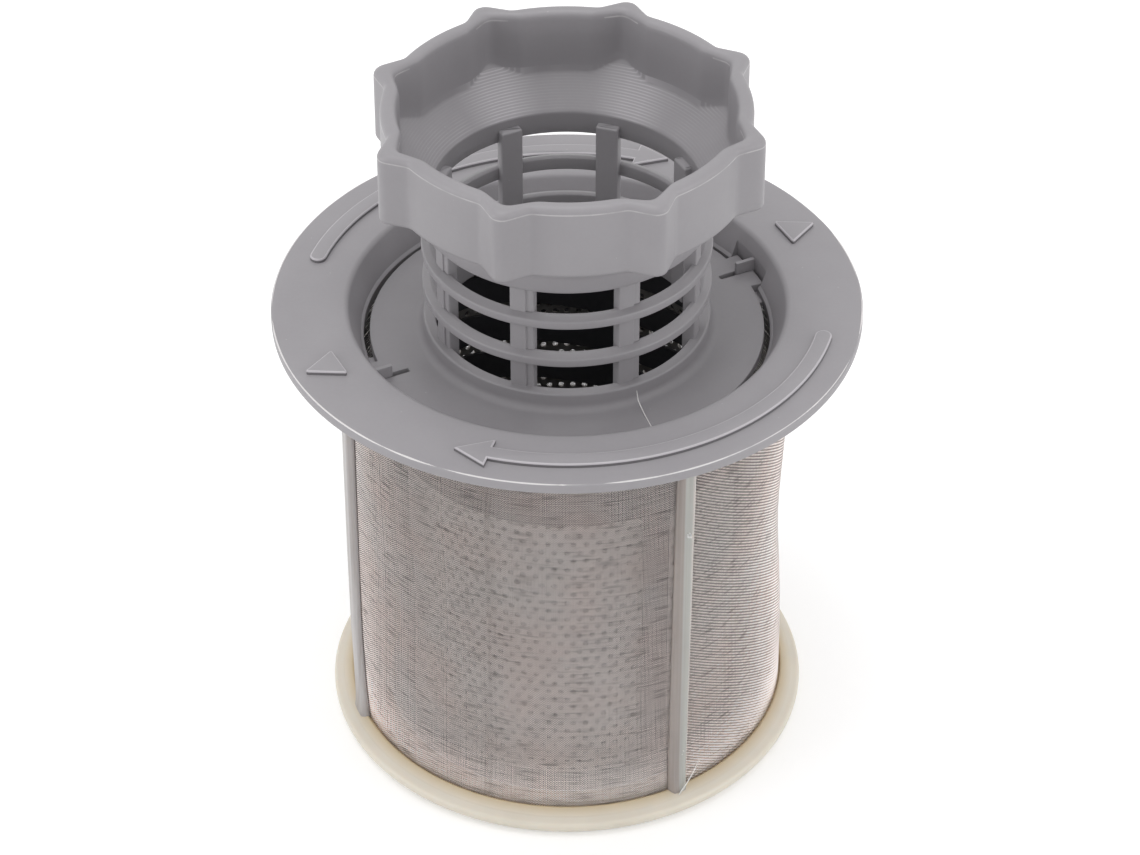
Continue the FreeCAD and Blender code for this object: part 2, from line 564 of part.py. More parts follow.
def make_strainer_top():
    """The grey strainer: disc with two keyed ears, cage, throat, funnel floor and lobed grip."""
    body = new_body("strainer_top")
    body.AllowCompound = True
    turned(body, "Revolution", "disc_and_collar", [
        (THROAT_RADIUS, SILL),
        (CAGE_RADIUS, SILL),
        (CAGE_RADIUS, DISC_TOP),
        (DISC_RADIUS, DISC_TOP),
        (DISC_RADIUS, DISC_LOW),
        (SPIGOT_RADIUS, DISC_LOW),
        (SPIGOT_RADIUS, SPIGOT_LOW),
        (SPIGOT_INNER, SPIGOT_LOW),
        (SPIGOT_INNER, DISC_LOW),
        (THROAT_RADIUS, DISC_LOW),
    ])
    rounded(body, "collar_fillet", lambda edge: is_hoop(edge, CAGE_RADIUS, DISC_TOP),
            "min(collar_round; sill_height - hoop_round)")
    ear = turned(body, "Revolution", "ear", box_corners(
        f"({DISC_RADIUS} - disc_overlap)", EAR_RADIUS, DISC_LOW, DISC_TOP), "ear_angle", "index_turn")
    repeated(body, "ears", [ear], "2")
    slot_half = "(key_thickness / 2 + key_clearance)"
    slot_sketch = polygon(body, "slot_outline", box_corners(
        f"({EAR_RADIUS} - slot_length)", f"({EAR_RADIUS} + disc_gap)", f"-{slot_half}", slot_half),
        "XY_Plane", DISC_TOP, "index_turn")
    slot = sunk(body, "slot", slot_sketch, "disc_thickness")
    repeated(body, "slots", [slot], "2")

    post_inner = f"({THROAT_RADIUS} - post_inset)"
    post_outer = f"({THROAT_RADIUS} + post_bite)"
    stepped = f"({post_outer} - post_step)"
    post_sketch = polygon(body, "post_outline", [
        (post_inner, "-post_width / 2"),
        (post_outer, "-post_width / 2"),
        (post_outer, "post_width / 6"),
        (stepped, "post_width / 6"),
        (stepped, "post_width / 2"),
        (post_inner, "post_width / 2"),
    ], "XY_Plane", DISC_LOW, "index_turn")
    post = raised(body, "post", post_sketch, f"{POST_TOP} - {DISC_LOW}")
    repeated(body, "posts", [post], "lobe_count")
    tops = number(POST_TOP)
    reach = number(THROAT_RADIUS)

    def is_post_end(edge):
        box = edge.BoundBox
        level = box.ZLength < 0.01 and abs(box.ZMin - tops) < 0.01
        return level and all(radius_of(corner.Point) < reach for corner in edge.Vertexes)

    rounded(body, "post_ends", is_post_end, "min(post_round; post_inset / 3)")
    levels = []
    for row in range(whole("window_rows") - 1):
        top = f"({CAGE_TOP} - {row} * ({WINDOW_HEIGHT} + hoop_height) - {WINDOW_HEIGHT})"
        low = f"({top} - hoop_height)"
        levels += [top, low]
        turned(body, "Revolution", f"hoop_{row}", box_corners(THROAT_RADIUS, CAGE_RADIUS, low, top))
    rounded(body, "hoop_edges", lambda edge: any(is_hoop(edge, CAGE_RADIUS, level) for level in levels),
            "min(hoop_round; hoop_height / 3)")

    outline = circles(body, "grip_outline", [("0", "0")], GRIP_RADIUS, "XY_Plane", GRIP_LOW)
    raised(body, "grip", outline, "grip_height")
    hollow_radius = f"({GRIP_RADIUS} - grip_wall)"
    foot_across = f"sqrt({GRIP_RADIUS} * {GRIP_RADIUS} - lobe_foot_half * lobe_foot_half)"
    lobe_sketch = polygon(body, "lobe_outline", [
        (hollow_radius, "-lobe_foot_half"),
        (foot_across, "-lobe_foot_half"),
        (f"({GRIP_RADIUS} + lobe_reach)", "-lobe_tip_half"),
        (f"({GRIP_RADIUS} + lobe_reach)", "lobe_tip_half"),
        (foot_across, "lobe_foot_half"),
        (hollow_radius, "lobe_foot_half"),
    ], "XY_Plane", GRIP_LOW, "index_turn")
    lobe = raised(body, "lobe", lobe_sketch, "grip_height")
    repeated(body, "lobes", [lobe], "lobe_count")
    grip_low = number(GRIP_LOW)

    def is_grip_upright(edge):
        return is_upright(edge) and edge.BoundBox.ZMin > grip_low - 0.01

    rounded(body, "lobe_corners", is_grip_upright, "lobe_round")
    hollow = circles(body, "hollow_outline", [("0", "0")], hollow_radius, "XY_Plane", GRIP_TOP)
    sunk(body, "hollow", hollow, "grip_height")
    foot_squared = "lobe_hollow_foot_half * lobe_hollow_foot_half"
    hollow_across = f"sqrt({hollow_radius} * {hollow_radius} - {foot_squared})"
    lobe_hollow_sketch = polygon(body, "lobe_hollow_outline", [
        (THROAT_RADIUS, "-lobe_hollow_foot_half"),
        (hollow_across, "-lobe_hollow_foot_half"),
        (f"({hollow_radius} + lobe_hollow_reach)", "-lobe_hollow_tip_half"),
        (f"({hollow_radius} + lobe_hollow_reach)", "lobe_hollow_tip_half"),
        (hollow_across, "lobe_hollow_foot_half"),
        (THROAT_RADIUS, "lobe_hollow_foot_half"),
    ], "XY_Plane", GRIP_TOP, "index_turn")
    lobe_hollow = sunk(body, "lobe_hollow", lobe_hollow_sketch, "grip_height")
    repeated(body, "lobe_hollows", [lobe_hollow], "lobe_count")
    inside = number(f"{hollow_radius} + (lobe_hollow_reach + grip_wall) / 2")

    def is_hollow_corner(edge):
        return is_grip_upright(edge) and radius_of(edge.Vertexes[0].Point) < inside

    rounded(body, "hollow_corners", is_hollow_corner, "lobe_round")
    rim = number(GRIP_TOP)

    def is_rim(edge):
        return edge.BoundBox.ZLength < 0.01 and abs(edge.BoundBox.ZMin - rim) < 0.01

    rounded(body, "rim", is_rim, "min(rim_round; grip_wall * 2 / 5)")
    floor_edge = f"({GRIP_RADIUS} - floor_bite)"
    floor_high = f"({THROAT_TOP} + ({floor_edge} - {THROAT_RADIUS}) * floor_slope)"
    turned(body, "Revolution", "neck_and_floor", [
        (THROAT_RADIUS, THROAT_TOP),
        (floor_edge, floor_high),
        (floor_edge, GRIP_LOW),
        (f"({GRIP_RADIUS} - grip_wall / 3)", GRIP_LOW),
        (CAGE_RADIUS, f"({THROAT_TOP} + cage_wall * floor_slope - floor_wall)"),
        (CAGE_RADIUS, CAGE_TOP),
        (THROAT_RADIUS, CAGE_TOP),
    ])
    return body


def make_basket():
    """The dark frame under the disc: upper band, three posts, and a floor with drain holes."""
    body = new_body("basket_frame")
    turned(body, "Revolution", "frame", [
        (BASKET_INNER, BASKET_TOP),
        (BASKET_RADIUS, BASKET_TOP),
        (BASKET_RADIUS, "(basket_base + foot_height)"),
        (FOOT_RADIUS, "(basket_base + foot_height)"),
        (FOOT_RADIUS, "basket_base"),
        ("(drain_radius * 1.5)", "basket_base"),
        ("(drain_radius * 1.5)", BASKET_FLOOR_TOP),
        (BASKET_INNER, BASKET_FLOOR_TOP),
    ])
    low = f"({BASKET_SILL} + basket_low_band)"
    high = f"({BASKET_TOP} - basket_top_band)"
    for name, start, span in PANELS:
        turned(body, "Groove", f"opening_{name}", box_corners(
            f"({BASKET_INNER} - basket_wall)", f"({BASKET_RADIUS} + basket_wall)", low, high),
            f"{span} - basket_post_angle", f"{start} + {span} / 2")

    def is_opening_corner(edge):
        if not isinstance(edge.Curve, Part.Line) or abs(edge.Curve.Direction.z) > 0.01:
            return False
        height = edge.Vertexes[0].Point.z
        return abs(height - number(low)) < 0.01 or abs(height - number(high)) < 0.01

    rounded(body, "opening_corners", is_opening_corner, "basket_corner")
    drain_circle = f"({BASKET_INNER} - drain_inset)"
    drain_sketch = circles(body, "drain_outline", [(drain_circle, "0")], "drain_radius",
                           "XY_Plane", BASKET_FLOOR_TOP)
    drain = sunk(body, "drain", drain_sketch, "basket_floor")
    repeated(body, "drains", [drain], "drain_count")
    return body


def make_sleeve():
    """The perforated steel sleeve inside the basket's frame."""
    body = new_body("perforated_sleeve")
    low = f"({BASKET_FLOOR_TOP} + seat_gap)"
    high = f"({SPIGOT_LOW} - seat_gap)"
    turned(body, "Revolution", "tube", box_corners(
        f"({SLEEVE_RADIUS} - sleeve_thickness)", SLEEVE_RADIUS, low, high))
    bottom = f"({BASKET_SILL} + basket_low_band)"
    step = f"(({BASKET_TOP} - basket_top_band - {bottom}) / hole_rows)"
    for name, shift, turn in (("even", "1 / 4", "0"), ("odd", "3 / 4", "360 / hole_columns")):
        centres = [("0", f"({bottom} + ({row} + {shift}) * {step})") for row in range(whole("hole_rows"))]
        sketch = circles(body, f"hole_outline_{name}", centres, "hole_radius", "XZ_Plane", "0", turn,
                         f"({SLEEVE_RADIUS} - 2 * sleeve_thickness)")
        hole = sunk(body, f"hole_{name}", sketch, "3 * sleeve_thickness")
        repeated(body, f"holes_{name}", [hole], "hole_columns / 2")
    return body


def main():
    bodies = [make_flange(), make_mesh(), make_drum_frame(), make_strainer_top(), make_basket(),
              make_sleeve()]
    doc.recompute()
    for item in doc.Objects:
        if "Invalid" in item.State or "Error" in item.State:
            raise RuntimeError(f"{item.Name} is {item.State}")
    for body in bodies:
        if body.Shape.isNull() or not body.Shape.isValid() or len(body.Shape.Solids) != 1:
            raise RuntimeError(f"{body.Label} isn't one valid solid")
    for body in bodies:
        box = body.Shape.BoundBox
        body.Shape.exportStep(f"parts/{body.Label}.step")
        volume = round(body.Shape.Volume / 1000.0, 3)
        print(body.Label, volume, "cm3, z", round(box.ZMin, 2), "to", round(box.ZMax, 2))


main()
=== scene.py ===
import math

import bpy
import numpy as np
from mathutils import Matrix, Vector
from mathutils.geometry import tessellate_polygon


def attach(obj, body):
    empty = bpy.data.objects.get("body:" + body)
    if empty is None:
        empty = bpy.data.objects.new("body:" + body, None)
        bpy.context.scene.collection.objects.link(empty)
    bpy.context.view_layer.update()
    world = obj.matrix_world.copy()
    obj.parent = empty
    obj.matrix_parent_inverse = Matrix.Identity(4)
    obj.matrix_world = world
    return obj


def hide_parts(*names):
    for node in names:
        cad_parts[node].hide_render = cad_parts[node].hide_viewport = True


# Looks of the dishwasher filter set. Lengths are millimetres, which MM turns into metres, apart from the
# floor, lamps and camera at the end. The frame is the model's: +Z up, base at z 0. Azimuths are degrees from
# the front (-Y) towards +X. The scales of noises are per metre.

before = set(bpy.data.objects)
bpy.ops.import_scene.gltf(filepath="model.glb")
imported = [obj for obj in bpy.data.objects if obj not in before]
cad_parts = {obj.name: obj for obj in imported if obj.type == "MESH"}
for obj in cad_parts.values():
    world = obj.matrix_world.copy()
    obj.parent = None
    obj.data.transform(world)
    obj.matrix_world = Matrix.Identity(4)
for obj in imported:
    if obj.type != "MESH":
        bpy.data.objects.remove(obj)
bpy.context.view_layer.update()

MM = 0.001
UP = np.array([0.0, 0.0, 1.0])
FLANGE_TOP = 90.0
# Heights of the raised arrows and pointers, which start inside the flange, and of the strainer's disc
MARK_FOOT, MARK_TOP = 89.5, 90.8
DISC_LOW, DISC_TOP = 83.0, 84.5
# Radii of the disc's hub, the throat's bore, the cage's outside and the funnel's foot
HUB, BORE, CAGE, FUNNEL = 30.8, 23.5, 25.6, 23.9
# Radius of the cloth, distance between its wires, and radii of the fine wires and of the stouter ones
CLOTH, PITCH = 40.4, 0.25
FINE_WIRE, STOUT_WIRE = 0.058, 0.078
# Azimuths of the keys, which the lobes and posts follow, and of the ribs
INDEX = 116.3
KEYS = (INDEX, INDEX + 180.0)
RIBS = (30.0, 159.0, 288.0)
LOBES = 8
rng = np.random.default_rng(7)


def polar(radius, azimuth, z):
    """Points at a radius, an azimuth and a height."""
    a = np.radians(np.asarray(azimuth, dtype=float) - 90.0)
    return np.stack(np.broadcast_arrays(radius * np.cos(a), radius * np.sin(a), z), axis=-1)


def outward(azimuth):
    """Unit vectors away from the axis."""
    return polar(1.0, azimuth, 0.0)


def sideways(azimuth):
    """Unit vectors round the axis, towards rising azimuths."""
    return polar(1.0, np.asarray(azimuth, dtype=float) + 90.0, 0.0)


def placed(outline, azimuth):
    """A flat outline, drawn as (outwards, sideways), laid at an azimuth."""
    outline = np.asarray(outline, dtype=float)
    return outline[:, :1] * outward(azimuth)[:2] + outline[:, 1:] * sideways(azimuth)[:2]


def turned(vector, angle):
    """A flat vector turned by an angle in radians."""
    c, s = math.cos(angle), math.sin(angle)
    return np.array([vector[0] * c - vector[1] * s, vector[0] * s + vector[1] * c])


# Mesh building


def build(name, verts, quads=None, tris=None, flat_from=40.0):
    """A mesh object from arrays of corners, with its faces turned outwards."""
    verts = np.asarray(verts, dtype=np.float64).reshape(-1, 3)
    groups = [np.asarray(g, dtype=np.int64) for g in (quads, tris) if g is not None and len(g)]
    volume = 0.0
    for g in groups:
        for i in range(1, g.shape[1] - 1):
            a, b, c = verts[g[:, 0]], verts[g[:, i]], verts[g[:, i + 1]]
            volume += float(np.einsum("ij,ij->", a, np.cross(b, c)))
    if volume < 0:
        groups = [g[:, ::-1] for g in groups]
    mesh = bpy.data.meshes.new(name)
    loops = np.concatenate([g.ravel() for g in groups])
    totals = np.concatenate([np.full(len(g), g.shape[1]) for g in groups])
    starts = np.concatenate([[0], np.cumsum(totals)[:-1]])
    mesh.vertices.add(len(verts))
    mesh.vertices.foreach_set("co", (verts * MM).astype(np.float32).ravel())
    mesh.loops.add(len(loops))
    mesh.loops.foreach_set("vertex_index", loops.astype(np.int32))
    mesh.polygons.add(len(totals))
    mesh.polygons.foreach_set("loop_start", starts.astype(np.int32))
    mesh.polygons.foreach_set("loop_total", totals.astype(np.int32))
    mesh.update(calc_edges=True)
    mesh.validate()
    mesh.polygons.foreach_set("use_smooth", np.ones(len(totals), dtype=bool))
    mesh.set_sharp_from_angle(angle=math.radians(flat_from))
    mesh.update()
    obj = bpy.data.objects.new(name, mesh)
    bpy.context.scene.collection.objects.link(obj)
    return obj


def fillet(points, steps=5):
    """A closed outline with its corners rounded: points are (x, y, radius)."""
    out = []
    count = len(points)
    for i, (x, y, r) in enumerate(points):
        here = np.array([x, y], dtype=float)
        before = np.array(points[i - 1][:2], dtype=float) - here
        after = np.array(points[(i + 1) % count][:2], dtype=float) - here
        lb, la = np.linalg.norm(before), np.linalg.norm(after)
        before, after = before / lb, after / la
        half = math.acos(max(-1.0, min(1.0, float(before @ after)))) / 2
        nearly_straight = half > math.radians(88)
        if r <= 0 or nearly_straight:
            out.append(here)
            continue
        cut = min(r / math.tan(half), 0.49 * lb, 0.49 * la)
        r = cut * math.tan(half)
        middle = here + (before + after) / np.linalg.norm(before + after) * (r / math.sin(half))
        start, end = here + before * cut - middle, here + after * cut - middle
        sweep = math.atan2(start[0] * end[1] - start[1] * end[0], float(start @ end))
        out += [middle + turned(start, sweep * k / steps) for k in range(steps + 1)]
    return np.array(out)


def grid(rows, cols, wrap_rows, wrap_cols):
    """Faces of a grid of corners numbered row by row."""
    i = np.arange(rows if wrap_rows else rows - 1)
    j = np.arange(cols if wrap_cols else cols - 1)
    i, j = np.meshgrid(i, j, indexing="ij")
    i2, j2 = (i + 1) % rows, (j + 1) % cols
    return np.stack([i * cols + j, i2 * cols + j, i2 * cols + j2, i * cols + j2], axis=-1).reshape(-1, 4)


def area(outline):
    """Twice the area of a flat outline, above 0 if it runs counterclockwise."""
    x, y = outline[:, 0], outline[:, 1]
    return float(np.sum(x * np.roll(y, -1) - np.roll(x, -1) * y))


def fill(*loops):
    """Counterclockwise triangles that fill a flat outline, round the holes in it."""
    flat = [[Vector((float(x), float(y), 0.0)) for x, y in loop] for loop in loops]
    tris = np.array(tessellate_polygon(flat), dtype=np.int64)
    a, b, c = (np.concatenate(loops)[tris[:, k]] for k in range(3))
    clockwise = (b[:, 0] - a[:, 0]) * (c[:, 1] - a[:, 1]) < (c[:, 0] - a[:, 0]) * (b[:, 1] - a[:, 1])
    return np.where(clockwise[:, None], tris[:, ::-1], tris)


def caps(outline, last):
    """Triangles that close a sweep at its first outline and at the one whose corners start at last."""
    outline = np.asarray(outline, dtype=float)
    tris = fill(outline) if area(outline) > 0 else fill(outline)[:, ::-1]
    return np.concatenate([tris, tris[:, ::-1] + last])


def swept(name, azimuths, radius, height, full=True, flat_from=40.0):
    """Outlines of radii and heights joined from azimuth to azimuth, all round or with closed ends."""
    verts = polar(radius, azimuths[:, None], height)
    rows, cols = verts.shape[:2]
    tris = None if full else caps(np.column_stack([radius, height]), (rows - 1) * cols)
    return build(name, verts, grid(rows, cols, full, True), tris, flat_from)


def lathe(name, profile, start=0.0, end=360.0, step=1.5):
    """A closed outline of (radius, z) turned about Z, all round or between two azimuths."""
    full = end - start == 360.0
    count = int(round((end - start) / step))
    azimuths = np.linspace(start, end, count if full else count + 1, endpoint=not full)
    radius, height = np.asarray(profile, dtype=float).T
    return swept(name, azimuths, radius, height, full)


def prism_parts(outline, low, high, edge, hole=None):
    """Corners, quads and triangles of a flat outline raised from low to high, its upper edge rounded.

    The caps are filled with their corners moved by a hair, since filling drops corners on a straight line.
    """
    outline = np.asarray(outline, dtype=float)
    if area(outline) < 0:
        outline = outline[::-1]
    after = np.roll(outline, -1, axis=0) - outline
    after /= np.linalg.norm(after, axis=1, keepdims=True)
    normal = np.stack([-after[:, 1], after[:, 0]], axis=1)
    earlier = np.roll(normal, 1, axis=0)
    inward = earlier + normal
    # A sharp corner's mitre is limited by its least share of the two normals
    least = 0.35
    inward /= np.maximum(np.einsum("ij,ij->i", inward, earlier), least)[:, None]
    levels = [(0.0, low), (0.0, high - edge), (0.12 * edge, high - 0.5 * edge),
              (0.45 * edge, high - 0.13 * edge), (edge, high)]
    n = len(outline)
    rings = [np.column_stack([outline + inward * inset, np.full(n, z)]) for inset, z in levels]
    verts = np.concatenate(rings)
    quads = grid(len(levels), n, False, True)
    hair = 0.002 * np.sin(1.7 * np.arange(n))[:, None]
    loops = [outline - inward * hair]
    low_ids = np.arange(n)
    top_ids = low_ids + (len(levels) - 1) * n
    if hole is not None:
        first, m = len(verts), len(hole)
        ring = np.arange(m)
        verts = np.concatenate([verts] + [np.column_stack([hole, np.full(m, z)]) for z in (low, high)])
        quads = np.concatenate([quads, grid(2, m, False, True)[:, ::-1] + first])
        loops.append(hole * (1.0 + 0.00005 * np.sin(1.7 * ring))[:, None])
        low_ids = np.concatenate([low_ids, first + ring])
        top_ids = np.concatenate([top_ids, first + m + ring])
    tris = fill(*loops)
    return verts, quads, np.concatenate([top_ids[tris[:, ::-1]], low_ids[tris]])


def prism(name, outline, low, high, edge, hole=None):
    """An object from a flat outline raised from low to high."""
    return build(name, *prism_parts(outline, low, high, edge, hole))


def tube(points, radii, sides=6):
    """Corners, quads and triangles of a round strand along points."""
    points = np.asarray(points, dtype=float)
    tangent = np.gradient(points, axis=0)
    tangent /= np.linalg.norm(tangent, axis=1, keepdims=True)
    side = np.cross(tangent, UP) + 1e-6
    side /= np.linalg.norm(side, axis=1, keepdims=True)
    other = np.cross(tangent, side)
    t = np.linspace(0, 2 * math.pi, sides, endpoint=False)
    ring = np.cos(t)[None, :, None] * side[:, None, :] + np.sin(t)[None, :, None] * other[:, None, :]
    verts = points[:, None, :] + ring * np.asarray(radii)[:, None, None]
    fan = np.array([[0, i, i + 1] for i in range(1, sides - 1)])
    ends = np.concatenate([fan, fan[:, ::-1] + (len(points) - 1) * sides])
    return verts.reshape(-1, 3), grid(len(points), sides, False, True), ends


def merge(parts):
    """Joins several (corners, quads, triangles) into one."""
    joined, total = ([], [], []), 0
    for verts, *faces in parts:
        verts = np.asarray(verts).reshape(-1, 3)
        joined[0].append(verts)
        for store, group in zip(joined[1:], faces):
            if group is not None:
                store.append(np.asarray(group) + total)
        total += len(verts)
    return [np.concatenate(store) if store else None for store in joined]


# Material nodes. A value is a number, a tuple or another node's output.


def put(tree, value, socket):
    """Links an output to a socket, or sets the socket to a number, a vector or a colour."""
    if isinstance(value, bpy.types.NodeSocket):
        tree.links.new(value, socket)
    elif socket.type == "RGBA":
        socket.default_value = (*value, 1.0)
    else:
        socket.default_value = value


def add(tree, kind, **settings):
    """A node with its inputs, by name, and its own settings."""
    node = tree.nodes.new(kind)
    for key, value in settings.items():
        if key in node.inputs:
            put(tree, value, node.inputs[key])
        else:
            setattr(node, key, value)
    return node


def shade(tree, node, settings):
    """Sets or links inputs of a shader by name."""
    for key, value in settings.items():
        put(tree, value, node.inputs[key])


def maths(tree, operation, *values, kind="ShaderNodeMath", output=0):
    """The result of one operation on numbers, or on vectors with the other kind of node."""
    node = add(tree, kind, operation=operation)
    for value, socket in zip(values, node.inputs):
        put(tree, value, socket)
    return node.outputs[output]


def vector_maths(tree, operation, *values, output="Vector"):
    """The result of one operation on vectors."""
    return maths(tree, operation, *values, kind="ShaderNodeVectorMath", output=output)


def times(tree, first, *factors):
    """The product of two or more values."""
    for factor in factors:
        first = maths(tree, "MULTIPLY", first, factor)
    return first


def ranged(tree, value, zero, one):
    """A value stretched so that it is 0 at zero and beyond, and 1 at one and beyond."""
    return add(tree, "ShaderNodeMapRange", **{"Value": value, "From Min": zero, "From Max": one}).outputs[0]


def noise(tree, where, scale, detail=3.0):
    """Soft noise from 0 to 1."""
    node = add(tree, "ShaderNodeTexNoise", Vector=where, Scale=scale, Detail=detail, Roughness=0.55)
    return node.outputs["Fac"]


def ramp(tree, fac, stops):
    """A colour that runs from stop to stop: stops are (position, colour)."""
    node = add(tree, "ShaderNodeValToRGB", Fac=fac)
    elements = node.color_ramp.elements
    while len(elements) < len(stops):
        elements.new(0.5)
    for element, (position, colour) in zip(elements, stops):
        element.position = position
        element.color = (*colour, 1.0)
    return node.outputs["Color"]


def mix(tree, fac, a, b, blend="MIX"):
    """Colour a where fac is 0, and where it is 1 colour b or its blend with a."""
    node = add(tree, "ShaderNodeMix", data_type="RGBA", blend_type=blend)
    for value, number in ((fac, 0), (a, 6), (b, 7)):
        put(tree, value, node.inputs[number])
    return node.outputs[2]


def tinted(tree, base, tint):
    """A colour multiplied by another."""
    return mix(tree, 1.0, base, tint, "MULTIPLY")


def grey(level):
    """A neutral colour or factor."""
    return (level, level, level)


def scaled(colour, by):
    """A colour made lighter or darker."""
    return tuple(min(1.0, c * by) for c in colour)


def nodes_of(name):
    """A new material, its tree and its shader."""
    material = bpy.data.materials.new(name)
    material.use_nodes = True
    tree = material.node_tree
    return material, tree, tree.nodes["Principled BSDF"]


def place(tree):
    """The point being shaded: its vector, and a lookup of its X, Y and Z."""
    where = add(tree, "ShaderNodeTexCoord").outputs["Object"]
    return where, add(tree, "ShaderNodeSeparateXYZ", Vector=where).outputs


def level_part(tree, where):
    """A vector without its height."""
    return vector_maths(tree, "MULTIPLY", where, (1.0, 1.0, 0.0))


def axis_distance(tree, where):
    """Distance from the axis, in metres."""
    return vector_maths(tree, "LENGTH", level_part(tree, where), output="Value")


def azimuth_of(tree, apart):
    """Azimuth in radians, within half a turn of the front."""
    return maths(tree, "ARCTAN2", apart["X"], times(tree, apart["Y"], -1.0))


def angle_from(tree, angle, centre):
    """Distance in radians between an angle and a centre given in degrees."""
    return maths(tree, "ABSOLUTE", maths(tree, "SUBTRACT", angle, math.radians(centre)))


def relief(tree, shader, heights, strength, distance):
    """Bump on a shader, its distance in metres."""
    bump = add(tree, "ShaderNodeBump", Strength=strength, Distance=distance, Height=heights)
    tree.links.new(bump.outputs[0], shader.inputs["Normal"])


# Materials


def dust(tree, where):
    """1 on small specks, in about half of the cells."""
    cells = add(tree, "ShaderNodeTexVoronoi", Vector=where, Scale=330.0)
    chosen = add(tree, "ShaderNodeSeparateColor", Color=cells.outputs["Color"])
    return times(tree, maths(tree, "LESS_THAN", cells.outputs["Distance"], 0.035),
                 maths(tree, "GREATER_THAN", chosen.outputs[0], 0.55))


def tool_marks_and_sheen(tree, where, apart, pitch=0.42, middle=117.0, reach=3.4, edge=31.0, patch=153.0):
    """The tool's rings on the funnel's floor, and two patches of painted sheen on both sides of the axis.

    The floor is where the height is within reach of the middle and the radius is under the edge.
    """
    distance = axis_distance(tree, where)
    inside = times(tree, maths(tree, "COMPARE", apart["Z"], middle * MM, reach * MM),
                   maths(tree, "LESS_THAN", distance, edge * MM))
    off = angle_from(tree, maths(tree, "ABSOLUTE", azimuth_of(tree, apart)), patch)
    painted_sheen = times(tree, ranged(tree, off, math.radians(17.0), math.radians(4.0)), inside)
    patchy = ramp(tree, noise(tree, where, 60.0, 2.0), [(0.5, grey(0.1)), (0.68, grey(0.6))])
    waves = maths(tree, "SINE", times(tree, distance, 2 * math.pi / (pitch * MM)))
    return times(tree, waves, maths(tree, "MAXIMUM", patchy, painted_sheen), inside), painted_sheen


def plastic(name, colour, rough=0.42, specks=0.5, lines=(), arcs=False, bevel=None):
    """Moulded plastic: faint clouding, fine moulded grain, pale dust specks and pale flash lines.

    Lines are (height, half height, least radius) bands of pale moulding flash. A bevel is (foot, top): raised
    marks get painted shade below the foot and a painted highlight from there to the top. Arcs adds the tool's
    rings as bumps, with painted highlights on their crests and two patches of painted sheen.
    """
    material, tree, shader = nodes_of(name)
    where, apart = place(tree)
    height = apart["Z"]
    base = ramp(tree, noise(tree, where, 55.0), [(0.3, scaled(colour, 0.95)), (0.7, scaled(colour, 1.04))])
    base = mix(tree, times(tree, noise(tree, where, 1400.0, 2.0), 0.16), base, scaled(colour, 1.3))
    base = mix(tree, times(tree, dust(tree, where), specks), base, scaled(colour, 1.7))
    for z, half, least in lines:
        band = times(tree, maths(tree, "COMPARE", height, z * MM, half * MM),
                     maths(tree, "GREATER_THAN", axis_distance(tree, where), least * MM))
        ragged = ramp(tree, noise(tree, where, 300.0), [(0.3, grey(0.2)), (0.6, grey(1.0))])
        base = mix(tree, times(tree, band, ragged, 0.55), base, (0.62, 0.60, 0.61))
    if bevel:
        foot, top = bevel
        # Painted shade on the marks' side walls below the foot, and a painted highlight on their bevel above
        # it
        painted_foot_shade = maths(tree, "LESS_THAN", height, foot * MM)
        painted_bevel_highlight = times(tree, maths(tree, "GREATER_THAN", height, foot * MM),
                       maths(tree, "LESS_THAN", height, (top - 0.006) * MM))
        base = mix(tree, times(tree, painted_foot_shade, 0.8), base, scaled(colour, 0.36))
        base = mix(tree, times(tree, painted_bevel_highlight, 0.7), base, scaled(colour, 1.75))
    heights = noise(tree, where, 1100.0)
    if arcs:
        rings, painted_sheen = tool_marks_and_sheen(tree, where, apart)
        heights = maths(tree, "ADD", heights, times(tree, rings, 0.35))
        # Painted highlights on the rings' crests and painted sheen on the two patches
        painted_crest_highlight = maths(tree, "MAXIMUM", times(tree, rings, 0.5), 0.0)
        base = mix(tree, maths(tree, "ADD", times(tree, painted_sheen, 0.22), painted_crest_highlight), base, scaled(colour, 1.9))
    shade(tree, shader, {"Base Color": base, "Roughness": rough, "Specular IOR Level": 0.45})
    relief(tree, shader, heights, 0.25, 0.00006)
    return material


